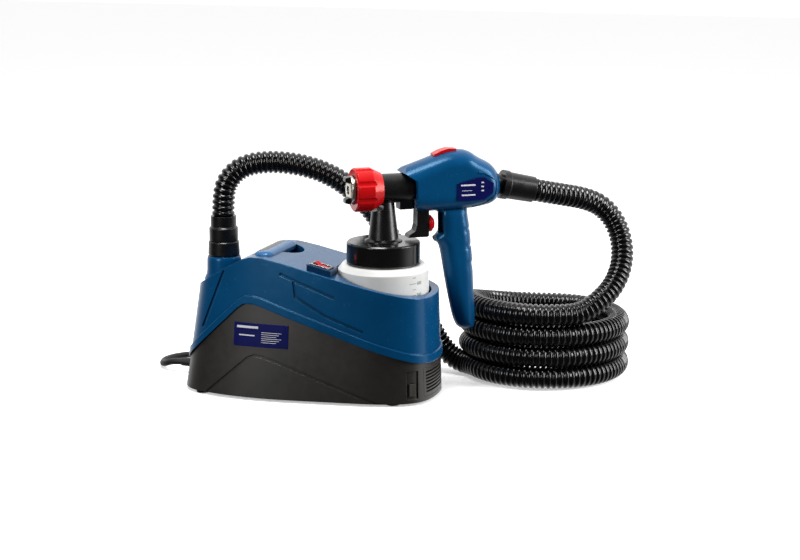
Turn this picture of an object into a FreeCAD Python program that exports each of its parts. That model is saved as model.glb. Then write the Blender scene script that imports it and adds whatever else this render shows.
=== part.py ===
"""Turbine paint sprayer: a floor unit with a blower, an air hose and a cup gun that stands in the unit.

Millimetres, +Z up. The origin is on the floor at the middle of the floor unit's base, +X points to
its air inlet and -Y to its label side. The gun has a frame of its own, turned by gun_yaw about the
cup's axis: its x runs from the nozzle back to the handle.
"""
import FreeCAD, Part
import math
import os
import Sketcher

DIMENSIONS = [
    # floor unit, outside
    ("base_length", 294, "base at the floor, along X"),
    ("base_width", 158, "base at its widest, across Y"),
    ("deck_length", 270, "outline at deck_datum, along X"),
    ("deck_width", 117, "outline at deck_datum, across Y"),
    ("deck_shift", 8, "deck outline's middle ahead of the base's"),
    ("deck_datum", 150, "height where the deck outline is stated"),
    ("peak_height", 158, "highest point of the cover"),
    ("peak_from_rear", 97, "highest point, from the rear end of the base"),
    ("front_height", 117, "cover's height at the front end"),
    ("rear_height", 108, "cover's height at the rear end"),
    ("seam_peak", 107, "joint line between cover and housing, highest"),
    ("seam_front", 45, "joint line at the front end"),
    ("seam_rear", 26, "joint line at the rear end"),
    ("seam_peak_from_rear", 92, "joint line's highest point, from the rear end"),
    ("wall", 2.6, "moulded walls of the floor unit"),
    ("lip_height", 9, "flared lower lip of the cover"),
    ("lip_out", 2.2, "how far the lip stands proud"),
    ("ground_gap", 3, "under the housing, left by the foot ring"),
    ("foot_inset", 10, "foot ring, in from the outline"),
    ("foot_strip", 7, "width of the foot ring's strip"),
    ("pad_radius", 8, "four round pads of the foot ring"),
    ("groove_depth", 1.4, "decorative grooves"),
    ("groove_width", 3, "decorative grooves"),
    ("deck_drop", 4.5, "from the cover's highest point to where its long slope starts"),
    # cradle, cup and lid
    ("cup_x", 83.3, "cup axis from the origin"),
    ("cup_radius", 51, "paint cup, outside"),
    ("cup_bottom", 53, "cup's underside above the floor"),
    ("cup_height", 97, "cup, underside to shoulder"),
    ("cup_wall", 1.8, "paint cup"),
    ("cup_neck_radius", 38, "threaded neck of the cup"),
    ("cup_neck_height", 15, "threaded neck of the cup"),
    ("cradle_clearance", 2.8, "between cup and cradle"),
    ("lid_radius", 41.5, "black lid over the cup's neck"),
    ("lid_height", 23, "black lid"),
    ("lid_wall", 2.4, "black lid"),
    ("lid_lift", 2, "lid's rim above the cup's shoulder"),
    ("screw_clearance", 0.3, "between threaded pieces on different bodies"),
    ("gasket_height", 1.6, "flat ring under the lid"),
    ("suction_radius", 4, "suction tube, outside"),
    ("suction_bore", 2.6, "suction tube, inside radius"),
    ("suction_gap", 6, "tube's end above the cup's floor"),
    # hose port, hose and lead
    ("port_x", -110, "hose port axis"),
    ("spout_radius", 19.5, "spout at its top"),
    ("spout_base_radius", 23, "spout's flared foot"),
    ("spout_top", 147, "spout's top above the floor"),
    ("spout_wall", 2.6, "spout"),
    ("collar_radius", 17.5, "locking collar of the hose"),
    ("collar_height", 17, "locking collar"),
    ("cuff_radius", 15.5, "hose cuff above the collar"),
    ("cuff_height", 29, "hose cuff above the collar"),
    ("plug_depth", 22, "hose cuff inside the spout"),
    ("air_bore", 11, "air passage radius in the cuffs"),
    ("running_gap", 0.3, "between pieces that turn or slide on each other"),
    ("pin_gap", 0.05, "radial clearance of pins and shafts"),
    ("hose_radius", 13, "air hose over its ribs"),
    ("coil_x", 231, "middle of the hose coil"),
    ("coil_y", 155, "middle of the hose coil"),
    ("coil_radius", 88, "hose coil at the middle of its turns"),
    ("coil_turns", 4, "stacked turns of the hose coil"),
    ("lead_radius", 3.75, "mains lead"),
    ("gland_y", 14, "mains lead's exit, from the middle"),
    ("gland_z", 12, "mains lead's exit, above the floor"),
    ("gland_length", 26, "tapered strain relief outside the housing"),
    ("lead_coil_x", -40, "put-away coil of the lead"),
    ("lead_coil_y", 150, "put-away coil of the lead"),
    ("lead_coil_radius", 41, "put-away coil at the middle of its turns"),
    ("lead_coil_rows", 3, "turns side by side in the put-away coil"),
    ("lead_coil_layers", 2.2, "turns on each other in the put-away coil"),
    # blower
    ("fan_x", -42, "axis of the blower"),
    ("fan_radius", 45, "blower housing, outside"),
    ("fan_height", 36, "blower housing"),
    ("fan_floor", 8, "blower housing's underside above the floor"),
    ("fan_wall", 2, "blower housing"),
    ("inlet_radius", 16, "blower's air inlet"),
    ("vane_count", 9, "impeller vanes"),
    ("shaft_radius", 3, "motor shaft"),
    ("armature_radius", 17, "motor armature"),
    ("air_gap", 0.8, "between armature and stator"),
    ("stator_radius", 32, "motor stator"),
    ("stator_height", 30, "motor stator"),
    ("bearing_radius", 9.5, "motor bearings"),
    ("bearing_height", 6, "motor bearings"),
    ("duct_radius", 15, "air duct up to the port"),
    # air inlet at the front end
    ("grille_width", 66, "filter cover, across Y"),
    ("grille_low", 8, "filter cover's lower edge"),
    ("grille_high", 40, "filter cover's upper edge"),
    ("slot_pitch", 3.7, "filter cover's slots"),
    ("slot_height", 2, "filter cover's slots"),
    ("slot_count", 7, "filter cover's slots"),
    ("filter_thickness", 12, "foam filter"),
    ("latch_width", 7, "filter latch"),
    ("latch_height", 14, "filter latch"),
    ("latch_proud", 1.4, "filter latch, ahead of the wall"),
    ("latch_recess", 3.5, "shallow recess round the latch, to each side"),
    ("latch_recess_rise", 14, "shallow recess above the latch"),
    ("latch_angle", 52, "latch wall's normal, from +X towards -Y"),
    # handle, switch and label of the floor unit
    ("handle_x", -46, "middle of the carry handle's bar"),
    ("handle_bar", 22, "carry handle's bar, along X"),
    ("handle_thickness", 13, "carry handle's bar"),
    ("handle_reach", 44, "half the handle's span, across Y"),
    ("pocket_reach", 36, "half the finger pocket, across Y"),
    ("bay_radius", 24, "rounded finger bay ahead of the bar"),
    ("bay_x", -42, "middle of the finger bay"),
    ("bay_y", 14, "middle of the finger bay"),
    ("pocket_floor", 124, "finger pocket's floor above the floor"),
    ("pod_length", 28, "switch housing, along X"),
    ("pod_width", 22, "switch housing, across Y"),
    ("pod_x", 26, "switch housing's middle"),
    ("pod_y", -44, "switch housing's middle"),
    ("pod_height", 7, "switch housing above the deck"),
    ("rocker_length", 17, "rocker, along X"),
    ("rocker_width", 10, "rocker, across Y"),
    ("rocker_rise", 5.1, "rocker's raised end above its pivot"),
    ("rocker_depth", 6.5, "rocker below its pivot"),
    ("rocker_gap", 0.5, "between rocker and frame"),
    ("frame_edge", 3, "metal-look frame round the rocker"),
    ("label_length", 65, "rating plate"),
    ("label_height", 26, "rating plate"),
    ("label_x", -38, "middle of the rating plate"),
    ("label_z", 73, "middle of the rating plate"),
    ("label_thickness", 0.8, "plates"),
    # gun, in its own frame
    ("gun_yaw", 35, "gun's handle, turned from +X towards +Y"),
    ("barrel_z", 234, "spray axis above the floor, at rest"),
    ("barrel_radius", 16.5, "black spray head"),
    ("barrel_front", -11, "spray head's shoulder"),
    ("barrel_rear", 36, "spray head's rear end"),
    ("neck_top_radius", 12, "neck under the spray head"),
    ("neck_foot_radius", 17, "neck at the lid"),
    ("passage_radius", 3.2, "paint passage"),
    ("nut_radius", 24.5, "red ring nut"),
    ("nut_front", -35, "ring nut's front face"),
    ("nut_rear", -4, "ring nut's rear face"),
    ("nut_flutes", 8, "finger flutes of the ring nut"),
    ("cap_radius", 18.5, "air cap"),
    ("cap_front", -40, "air cap's face"),
    ("horn_reach", 5, "air cap's horns ahead of its face"),
    ("nozzle_radius", 5, "paint nozzle"),
    ("nozzle_bore", 1.2, "paint nozzle's opening, radius"),
    ("needle_radius", 1.6, "needle"),
    ("body_half", 23, "half the gun body's thickness"),
    ("grip_half", 15, "half the grip's thickness"),
    ("gun_wall", 2.5, "gun shells"),
    ("body_front", 33, "gun body's front edge"),
    ("body_rear", 136, "gun body's rear end"),
    ("body_top", 275, "gun body's top"),
    ("body_bottom", 207, "gun body's underside"),
    ("grip_bottom", 67, "grip's lower end"),
    ("grip_front", 63, "grip's front face at its top"),
    ("grip_rear", 98, "grip's rear face at its top"),
    ("grip_rake", 10, "how far the grip leans back to its end"),
    ("grip_toe", 24, "depth of the grip at its lower end"),
    ("pivot_x", 44, "trigger pivot"),
    ("pivot_z", 256, "trigger pivot"),
    ("pivot_radius", 2, "trigger pin"),
    ("trigger_half", 8, "half the trigger's width"),
    ("trigger_front", 37, "trigger's blade"),
    ("trigger_rear", 51, "trigger's blade"),
    ("trigger_bottom", 178, "trigger's lower end"),
    ("trigger_toe", 10, "toe at the trigger's lower end"),
    ("knob_radius", 9.5, "flow knob"),
    ("knob_depth", 8, "flow knob behind the trigger"),
    ("knob_z", 192, "flow knob's axis"),
    ("knob_pocket", 8, "pocket for the knob in the grip"),
    ("spring_radius", 4.5, "needle spring"),
    ("spring_length", 20, "room for the needle spring at rest"),
    ("needle_stroke", 3.5, "needle's travel"),
    ("button_half", 7, "half the release button's width"),
    ("button_front", 57, "release button"),
    ("button_rear", 83, "release button"),
    ("button_rise", 1.6, "release button above the gun body"),
    ("joint_tilt", 12, "hose connector, down from the spray axis"),
    ("joint_radius", 16.5, "hose connector on the gun"),
    ("joint_length", 42, "hose connector on the gun"),
]

doc = FreeCAD.newDocument("PaintSprayer")
sheet = doc.addObject("Spreadsheet::Sheet", "sizes")
SUB_PARTS = []


class Size:
    """A dimension: its value, and the sheet formula that gives it."""

    def __init__(self, value, formula):
        self.value = value
        self.formula = formula

    def __neg__(self):
        return 0 - self


def as_size(thing):
    if isinstance(thing, Size):
        return thing
    return Size(float(thing), "({:.9g})".format(thing))


def operation(sign, work):
    def combine(first, second):
        first, second = as_size(first), as_size(second)
        formula = f"({first.formula} {sign} {second.formula})"
        return Size(work(first.value, second.value), formula)

    return combine


for word, symbol, rule in (
    ("add", "+", lambda a, b: a + b),
    ("sub", "-", lambda a, b: a - b),
    ("mul", "*", lambda a, b: a * b),
    ("truediv", "/", lambda a, b: a / b),
):
    forward = operation(symbol, rule)
    setattr(Size, f"__{word}__", forward)
    setattr(Size, f"__r{word}__", lambda self, other, turned=forward: turned(other, self))


class Dimensions:
    """Every driving dimension, by its name in the sheet."""


dim = Dimensions()
for row, (alias, number, note) in enumerate(DIMENSIONS, start=1):
    sheet.set(f"A{row}", alias)
    sheet.set(f"B{row}", str(number))
    sheet.set(f"C{row}", note)
    sheet.setAlias(f"B{row}", alias)
    setattr(dim, alias, Size(float(number), f"sizes.{alias}"))
doc.recompute()


def bind(thing, path, amount):
    thing.setExpression(path, as_size(amount).formula)


def place(thing, x=0, y=0, z=0, yaw=0):
    """Put an object at a point of the part's frame, turned by yaw about Z."""
    x, y, z, yaw = as_size(x), as_size(y), as_size(z), as_size(yaw)
    point = FreeCAD.Vector(x.value, y.value, z.value)
    turn = FreeCAD.Rotation(FreeCAD.Vector(0, 0, 1), yaw.value)
    thing.Placement = FreeCAD.Placement(point, turn)
    for path, amount in (("Base.x", x), ("Base.y", y), ("Base.z", z)):
        if "sizes." in amount.formula:
            bind(thing, f"Placement.{path}", amount)
    if "sizes." in yaw.formula:
        bind(thing, "Placement.Rotation.Angle", yaw)
    return thing


def in_gun(thing, z=0):
    """Put an object modelled in the gun's frame where the gun stands at rest."""
    return place(thing, dim.cup_x, 0, z, dim.gun_yaw)


def sub_part(thing, name):
    """Name an object as a sub-part that is written out."""
    thing.Label = name
    SUB_PARTS.append(thing)
    return thing


def origin_plane(body, role):
    return next(f for f in body.Origin.OriginFeatures if f.Role == role)


def new_body(name):
    return doc.addObject("PartDesign::Body", name)


def new_sketch(body, role, shift=0):
    sketch = body.newObject("Sketcher::SketchObject", body.Name + "_sketch")
    sketch.AttachmentSupport = [(origin_plane(body, role), "")]
    sketch.MapMode = "FlatFace"
    shift = as_size(shift)
    sketch.AttachmentOffset = FreeCAD.Placement(FreeCAD.Vector(0, 0, shift.value), FreeCAD.Rotation())
    if "sizes." in shift.formula:
        bind(sketch, "AttachmentOffset.Base.z", shift)
    return sketch


def draw_corners(sketch, corners):
    """A closed outline of straight lines whose corners are bound to the sheet."""
    corners = [(as_size(x), as_size(y)) for x, y in corners]
    count = len(corners)
    points = [FreeCAD.Vector(x.value, y.value, 0) for x, y in corners]
    for index in range(count):
        sketch.addGeometry(Part.LineSegment(points[index], points[(index + 1) % count]))
    for index in range(count):
        sketch.addConstraint(Sketcher.Constraint("Coincident", index, 2, (index + 1) % count, 1))
    for index, (x, y) in enumerate(corners):
        for kind, amount, axis in (("DistanceX", x, -2), ("DistanceY", y, -1)):
            if abs(amount.value) < 1e-9:
                sketch.addConstraint(Sketcher.Constraint("PointOnObject", index, 1, axis))
                continue
            made = sketch.addConstraint(Sketcher.Constraint(kind, -1, 1, index, 1, amount.value))
            if "sizes." in amount.formula:
                bind(sketch, f"Constraints[{made}]", amount)


def draw_circle(sketch, radius, x=0, y=0):
    x, y, radius = as_size(x), as_size(y), as_size(radius)
    centre = FreeCAD.Vector(x.value, y.value, 0)
    ring = sketch.addGeometry(Part.Circle(centre, FreeCAD.Vector(0, 0, 1), radius.value))
    made = sketch.addConstraint(Sketcher.Constraint("Radius", ring, radius.value))
    bind(sketch, f"Constraints[{made}]", radius)
    for kind, amount, axis in (("DistanceX", x, -2), ("DistanceY", y, -1)):
        if abs(amount.value) < 1e-9:
            sketch.addConstraint(Sketcher.Constraint("PointOnObject", ring, 3, axis))
            continue
        made = sketch.addConstraint(Sketcher.Constraint(kind, -1, 1, ring, 3, amount.value))
        bind(sketch, f"Constraints[{made}]", amount)


def turned(name, corners, axis="V_Axis"):
    """A turned piece: corners are (radius, height) about V_Axis, or (x, radius) about H_Axis."""
    body = new_body(name)
    sketch = new_sketch(body, "XZ_Plane")
    draw_corners(sketch, corners)
    feature = body.newObject("PartDesign::Revolution", name + "_turn")
    feature.Profile = sketch
    feature.ReferenceAxis = (sketch, [axis])
    feature.Angle = 360
    return body


PAD_START = {"XY_Plane": lambda low, high: low, "YZ_Plane": lambda low, high: low,
             "XZ_Plane": lambda low, high: 0 - as_size(high)}


def padded(name, role, corners, low, high, radius=None):
    """A plate or bar: an outline, or a circle at one point, padded from low to high across its plane."""
    body = new_body(name)
    sketch = new_sketch(body, role, PAD_START[role](low, high))
    if radius is None:
        draw_corners(sketch, corners)
    else:
        for x, y in corners:
            draw_circle(sketch, radius, x, y)
    feature = body.newObject("PartDesign::Pad", name + "_pad")
    feature.Profile = sketch
    length = as_size(high) - low
    feature.Length = length.value
    bind(feature, "Length", length)
    return body


def box(name, x, y, z):
    """A block given by its low and high value along each axis."""
    thing = doc.addObject("Part::Box", name)
    for path, (low, high) in (("Length", x), ("Width", y), ("Height", z)):
        span = as_size(high) - low
        setattr(thing, path, span.value)
        bind(thing, path, span)
    return place(thing, x[0], y[0], z[0])


def rod(name, radius, low, high, x=0, y=0):
    """An upright cylinder."""
    thing = doc.addObject("Part::Cylinder", name)
    span = as_size(high) - low
    thing.Radius = as_size(radius).value
    thing.Height = span.value
    bind(thing, "Radius", radius)
    bind(thing, "Height", span)
    return place(thing, x, y, low)


def fuse(name, *things):
    if len(things) == 1:
        return things[0]
    made = doc.addObject("Part::MultiFuse", name)
    made.Shapes = list(things)
    return made


def common(name, *things):
    made = doc.addObject("Part::MultiCommon", name)
    made.Shapes = list(things)
    return made


def cut(name, base, *tools):
    made = doc.addObject("Part::Cut", name)
    made.Base = base
    made.Tool = fuse(name + "_tools", *tools)
    return made


# ---------------------------------------------------------------- floor unit, outer form

def outline_points(length, width, shift, inset, front_share):
    """Half outlines mirrored into one closed ring, blunt at the rear and narrower at the front."""
    half, side = length / 2, width / 2
    share = [
        (-1.0, 0.0), (-0.985, 0.38), (-0.89, 0.76), (-0.71, 0.915), (-0.22, 1.0), (0.33, front_share[0]),
        (0.74, front_share[1]), (0.935, front_share[2]), (0.99, front_share[3]), (1.0, 0.0),
    ]
    upper = [(shift + half * along, side * across) for along, across in share]
    ring = upper + [(x, -y) for x, y in reversed(upper[1:-1])]
    count = len(ring)
    moved = []
    for index in range(count):
        before, after = ring[index - 1], ring[(index + 1) % count]
        dx, dy = after[0] - before[0], after[1] - before[1]
        size = math.hypot(dx, dy)
        x, y = ring[index]
        moved.append(FreeCAD.Vector(x + dy / size * inset * -1, y + dx / size * inset, 0))
    return moved


def outline_sketch(name, points, height):
    sketch = doc.addObject("Sketcher::SketchObject", name)
    curve = Part.BSplineCurve()
    curve.interpolate(Points=points, PeriodicFlag=True)
    sketch.addGeometry(curve)
    return place(sketch, 0, 0, height)


FLOOR_SHARES = (0.885, 0.745, 0.52, 0.25)
DECK_SHARES = (0.995, 0.93, 0.66, 0.29)


def hull(name, inset):
    """The tapered form of the floor unit, its wall moved inwards by inset."""
    low = outline_points(dim.base_length.value, dim.base_width.value, 0, -inset, FLOOR_SHARES)
    high = outline_points(
        dim.deck_length.value, dim.deck_width.value, dim.deck_shift.value, -inset, DECK_SHARES
    )
    stretch = (dim.peak_height.value + 12) / dim.deck_datum.value
    top = [a + (b - a) * stretch for a, b in zip(low, high)]
    loft = doc.addObject("Part::Loft", name)
    loft.Sections = [
        outline_sketch(name + "_floor", low, 0),
        outline_sketch(name + "_top", top, dim.peak_height + 12),
    ]
    loft.Solid = True
    loft.Ruled = True
    return loft


REAR_END = 0 - dim.base_length / 2
FRONT_END = dim.base_length / 2
REACH = 30


def deck_corners(drop):
    """Side profile of the cover's top, lowered by drop, closed far below."""
    peak = REAR_END + dim.peak_from_rear
    return [
        (REAR_END - REACH, 0 - REACH),
        (REAR_END - REACH, dim.rear_height - drop - 0.62 * REACH),
        (peak - 20, dim.peak_height - drop - 5),
        (peak - 6, dim.peak_height - drop),
        (peak + 10, dim.peak_height - drop),
        (peak + 34, dim.peak_height - drop - dim.deck_drop),
        (FRONT_END, dim.front_height - drop),
        (FRONT_END + REACH, dim.front_height - drop - 0.2 * REACH),
        (FRONT_END + REACH, 0 - REACH),
    ]


def seam_corners(lift, floor):
    """Side profile of everything below the joint line, raised by lift, down to floor."""
    peak = REAR_END + dim.seam_peak_from_rear
    return [
        (REAR_END - REACH, floor),
        (REAR_END - REACH, dim.seam_rear + lift - 0.9 * REACH),
        (peak - 12, dim.seam_peak + lift - 5),
        (peak - 4, dim.seam_peak + lift),
        (peak + 6, dim.seam_peak + lift),
        (peak + 16, dim.seam_peak + lift - 2),
        (FRONT_END, dim.seam_front + lift),
        (FRONT_END + REACH, dim.seam_front + lift - 0.3 * REACH),
        (FRONT_END + REACH, floor),
    ]


HALF_SPAN = dim.base_width / 2 + REACH


def side_prism(name, corners):
    return padded(name, "XZ_Plane", corners, 0 - HALF_SPAN, HALF_SPAN)


DECK_START = REAR_END + dim.peak_from_rear + 34
DECK_SLOPE = (dim.peak_height - dim.deck_drop - dim.front_height) / (FRONT_END - DECK_START)


def deck_height_at(x):
    """Height of the sloping deck ahead of its peak."""
    return dim.peak_height - dim.deck_drop - (as_size(x) - DECK_START) * DECK_SLOPE


wall = dim.wall.value
hull_outside = hull("hull_outside", 0)
hull_inside = hull("hull_inside", wall)
hull_lip = hull("hull_lip", -dim.lip_out.value)
hull_groove = hull("hull_groove", dim.groove_depth.value)
CRADLE_RADIUS = dim.cup_radius + dim.cradle_clearance
CRADLE_FLOOR = dim.cup_bottom - 0.5


def sloping_block(name, x, y, lift, depth):
    """A block on the sloping deck: its top is lift above the deck, its foot depth below it."""
    corners = [
        (x[0], deck_height_at(x[0]) - depth), (x[1], deck_height_at(x[1]) - depth),
        (x[1], deck_height_at(x[1]) + lift), (x[0], deck_height_at(x[0]) + lift),
    ]
    return padded(name, "XZ_Plane", corners, y[0], y[1])


POD_X = (dim.pod_x - dim.pod_length / 2, dim.pod_x + dim.pod_length / 2)
POD_Y = (dim.pod_y - dim.pod_width / 2, dim.pod_y + dim.pod_width / 2)
POCKET_X = (dim.handle_x - dim.handle_bar / 2 - 4, dim.handle_x + dim.handle_bar / 2)
POCKET_Y = (0 - dim.pocket_reach, dim.pocket_reach)


def grown(limits, margin):
    return (limits[0] - margin, limits[1] + margin)


SIDE_LINE = [(-2, 137), (1, 118), (36, 99), (80, 83)]
TOP_LINE = [(-18, 142), (6, 133), (46, 119)]
REAR_LINE = [(-87, 141), (-113, 75)]
CHEVRON = [(-104, 3), (-53, 46.5), (-45, 50), (-36, 49), (-14, 43), (102, 1)]


def groove(name, line, floor):
    """A shallow line round both sides of the form: a band along the points, kept off the inner form."""
    half = dim.groove_width.value / 2
    above, below = [], []
    for index, (x, z) in enumerate(line):
        before, after = line[max(index - 1, 0)], line[min(index + 1, len(line) - 1)]
        along = FreeCAD.Vector(after[0] - before[0], after[1] - before[1], 0).normalize() * half
        above.append((x - along.y, z + along.x))
        below.append((x + along.y, z - along.x))
    return cut(name + "_groove", side_prism(name + "_band", above + below[::-1]), floor)


def upper_cover():
    below_seam = side_prism("below_seam", seam_corners(0, 0 - REACH))
    below_lip = side_prism("below_lip", seam_corners(dim.lip_height, 0 - REACH))
    below_deck = side_prism("below_deck", deck_corners(0))
    below_ceiling = side_prism("below_ceiling", deck_corners(dim.wall))
    solid = common("cover_solid", hull_outside, below_deck)
    lip = common("cover_lip", hull_lip, below_lip)
    cradle = common("cradle", rod("cradle_wall", CRADLE_RADIUS + dim.wall, CRADLE_FLOOR - dim.wall,
                                  dim.peak_height, dim.cup_x), solid)
    pocket = box("pocket_walls", grown(POCKET_X, dim.wall), grown(POCKET_Y, dim.wall),
                 (dim.pocket_floor - dim.wall, dim.peak_height))
    bay_wall = rod("bay_wall", dim.bay_radius + dim.wall, dim.pocket_floor - dim.wall, dim.peak_height,
                   dim.bay_x, dim.bay_y)
    pocket = common("pocket_form", fuse("pocket_whole", pocket, bay_wall), solid)
    port_wall = common("port_form", rod("port_wall", dim.spout_base_radius + dim.wall,
                                        dim.rear_height - 12, dim.peak_height, dim.port_x), solid)
    hollow = common("cover_hollow", hull_inside, below_ceiling)
    shell = cut("cover_shell", cut("cover_outer", fuse("cover_whole", solid, lip), below_seam), hollow)
    inner = fuse("cover_inner", cradle, pocket, port_wall)
    whole = fuse("cover_joined", shell, inner)
    cup_hole = rod("cup_hole", CRADLE_RADIUS, CRADLE_FLOOR, dim.peak_height + 12, dim.cup_x)
    pocket_hole = box("pocket_hole", POCKET_X, POCKET_Y, (dim.pocket_floor, dim.peak_height + 12))
    bay_hole = rod("bay_hole", dim.bay_radius, dim.pocket_floor, dim.peak_height + 12, dim.bay_x,
                   dim.bay_y)
    port_hole = rod("port_hole", dim.spout_base_radius + dim.running_gap, 0, dim.peak_height, dim.port_x)
    pod_hole = sloping_block("pod_hole", grown(POD_X, -dim.wall), grown(POD_Y, -dim.wall), 10,
                             dim.wall + 12)
    lines = [groove("side_line", SIDE_LINE, hull_groove), groove("top_line", TOP_LINE, hull_groove),
             groove("rear_line", REAR_LINE, hull_groove)]
    made = cut("cover_form", whole, cup_hole, pocket_hole, bay_hole, port_hole, pod_hole, *lines)
    return sub_part(made, "upper_cover")


GRILLE_Y = (0 - dim.grille_width / 2, dim.grille_width / 2)
GRILLE_Z = (dim.grille_low, dim.grille_high)
WINDOW_X = (FRONT_END - 40, FRONT_END + 20)


def latch_frame(name, corners, low, high):
    """A block on the latch's wall: corners are (across, height), low and high run outwards."""
    body = padded(name, "YZ_Plane", corners, low, high)
    angle = 0 - dim.latch_angle
    return place(body, LATCH_X, LATCH_Y, 0, angle)


LATCH_X = FRONT_END - 17
LATCH_Y = 0 - dim.grille_width / 2 - 10
LATCH_Z = (dim.grille_low + 3, dim.grille_low + 3 + dim.latch_height)


def rectangle(x, y):
    return [(x[0], y[0]), (x[1], y[0]), (x[1], y[1]), (x[0], y[1])]


def lower_housing():
    tub = side_prism("tub_profile", seam_corners(0, dim.ground_gap))
    tub = common("tub_solid", hull_outside, tub)
    hollow_cap = box("hollow_cap", (REAR_END - REACH, FRONT_END + REACH), (0 - HALF_SPAN, HALF_SPAN),
                     (dim.ground_gap + dim.wall, dim.peak_height))
    hollow = common("tub_hollow", hull_inside, hollow_cap)
    shell = cut("tub_shell", tub, hollow)
    window = box("window", WINDOW_X, grown(GRILLE_Y, dim.running_gap), grown(GRILLE_Z, dim.running_gap))
    latch_hole = latch_frame("latch_hole", rectangle(
        grown((0 - dim.latch_width / 2, dim.latch_width / 2), dim.running_gap),
        grown(LATCH_Z, dim.running_gap)), -12, 12)
    recess_half = dim.latch_width / 2 + dim.latch_recess
    recess = latch_frame("latch_recess", rectangle(
        (0 - recess_half, recess_half),
        (LATCH_Z[0] - dim.latch_recess, LATCH_Z[1] + dim.latch_recess_rise)), -12, 12)
    recess = cut("latch_recess_cut", recess, hull_groove)
    gland_hole = turned("gland_hole", [(-40, 0), (40, 0), (40, dim.lead_radius + 2.4),
                                       (-40, dim.lead_radius + 2.4)], "H_Axis")
    place(gland_hole, REAR_END, dim.gland_y, dim.gland_z)
    made = cut("housing_form", shell, window, latch_hole, recess, gland_hole,
               groove("chevron", CHEVRON, hull_groove))
    return sub_part(made, "lower_housing")


def ring_sketch_points(inset):
    return outline_points(dim.base_length.value, dim.base_width.value, 0, -inset, FLOOR_SHARES)


def foot_ring():
    """A one-piece rubber ring with four round pads: the unit's resting face."""
    def plate(name, inset, height):
        sketch = outline_sketch(name + "_outline", ring_sketch_points(inset), 0)
        raised = doc.addObject("Part::Extrusion", name)
        raised.Base = sketch
        raised.DirMode = "Custom"
        raised.Dir = FreeCAD.Vector(0, 0, 1)
        raised.LengthFwd = as_size(height).value
        bind(raised, "LengthFwd", height)
        raised.Solid = True
        return raised

    inset = dim.foot_inset.value
    strip = cut("foot_strip_ring", plate("foot_outer", inset, dim.ground_gap),
                plate("foot_inner", inset + dim.foot_strip.value, dim.ground_gap))
    along = dim.base_length / 2 - 34
    pads = [
        rod(f"foot_pad_{end}_{side}", dim.pad_radius, 0, dim.ground_gap, end * along + shift,
            side * (dim.base_width / 2 - drop))
        for end, shift, drop in ((-1, 0, 19), (1, -4, 34)) for side in (-1, 1)
    ]
    return sub_part(fuse("foot_ring", strip, *pads), "foot_ring")


def carry_handle():
    """A rounded bar across the finger pocket, standing on the deck at both ends."""
    x = grown((dim.handle_x, dim.handle_x), dim.handle_bar / 2)
    top = dim.peak_height + 4
    low = top - dim.handle_thickness
    corners = [
        (x[0], low + 4), (x[0] + 4, low), (x[1] - 4, low), (x[1], low + 4),
        (x[1], top - 6), (x[1] - 6, top), (x[0] + 6, top), (x[0], top - 6),
    ]
    bar = padded("handle_bar_form", "XZ_Plane", corners, 0 - dim.handle_reach, dim.handle_reach)
    below = side_prism("below_deck_for_handle", deck_corners(0))
    ends = common("handle_foot_form", below, box("handle_ends", grown(x, REACH),
                  (0 - HALF_SPAN, HALF_SPAN), (0, top)))
    ends = cut("handle_foot_cut", ends, box("handle_pocket_gap", grown(x, REACH + 1), POCKET_Y, (-1, top)))
    return sub_part(cut("carry_handle", bar, ends), "carry_handle")


def outlet_spout():
    top, radius, base = dim.spout_top, dim.spout_radius, dim.spout_base_radius
    foot = dim.rear_height - 12
    bore = dim.cuff_radius + dim.running_gap
    corners = [
        (bore, foot), (base, foot), (base, foot + 24), (radius + 0.8, foot + 30), (radius, top - 4),
        (radius - 1, top), (bore, top),
    ]
    made = turned("outlet_spout", corners)
    return sub_part(place(made, dim.port_x), "outlet_spout")


def hose_base_fittings():
    low = dim.spout_top
    ring_bore = dim.cuff_radius + dim.running_gap
    collar = turned("hose_collar", [
        (ring_bore, low + dim.running_gap), (dim.collar_radius, low + dim.running_gap),
        (dim.collar_radius + 0.6, low + 2), (dim.collar_radius, low + dim.collar_height - 1),
        (dim.collar_radius - 1, low + dim.collar_height), (ring_bore, low + dim.collar_height),
    ])
    sub_part(place(collar, dim.port_x), "hose_collar")
    top = low + dim.collar_height + dim.cuff_height
    cuff = turned("hose_base_cuff", [
        (dim.air_bore, low - dim.plug_depth), (dim.cuff_radius, low - dim.plug_depth),
        (dim.cuff_radius, low + dim.collar_height + dim.running_gap),
        (dim.cuff_radius + 1, low + dim.collar_height + 1), (dim.cuff_radius + 1, top - 14),
        (dim.cuff_radius - 0.8, top - 12), (dim.cuff_radius - 0.8, top), (dim.air_bore, top),
    ])
    sub_part(place(cuff, dim.port_x), "hose_base_cuff")


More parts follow.
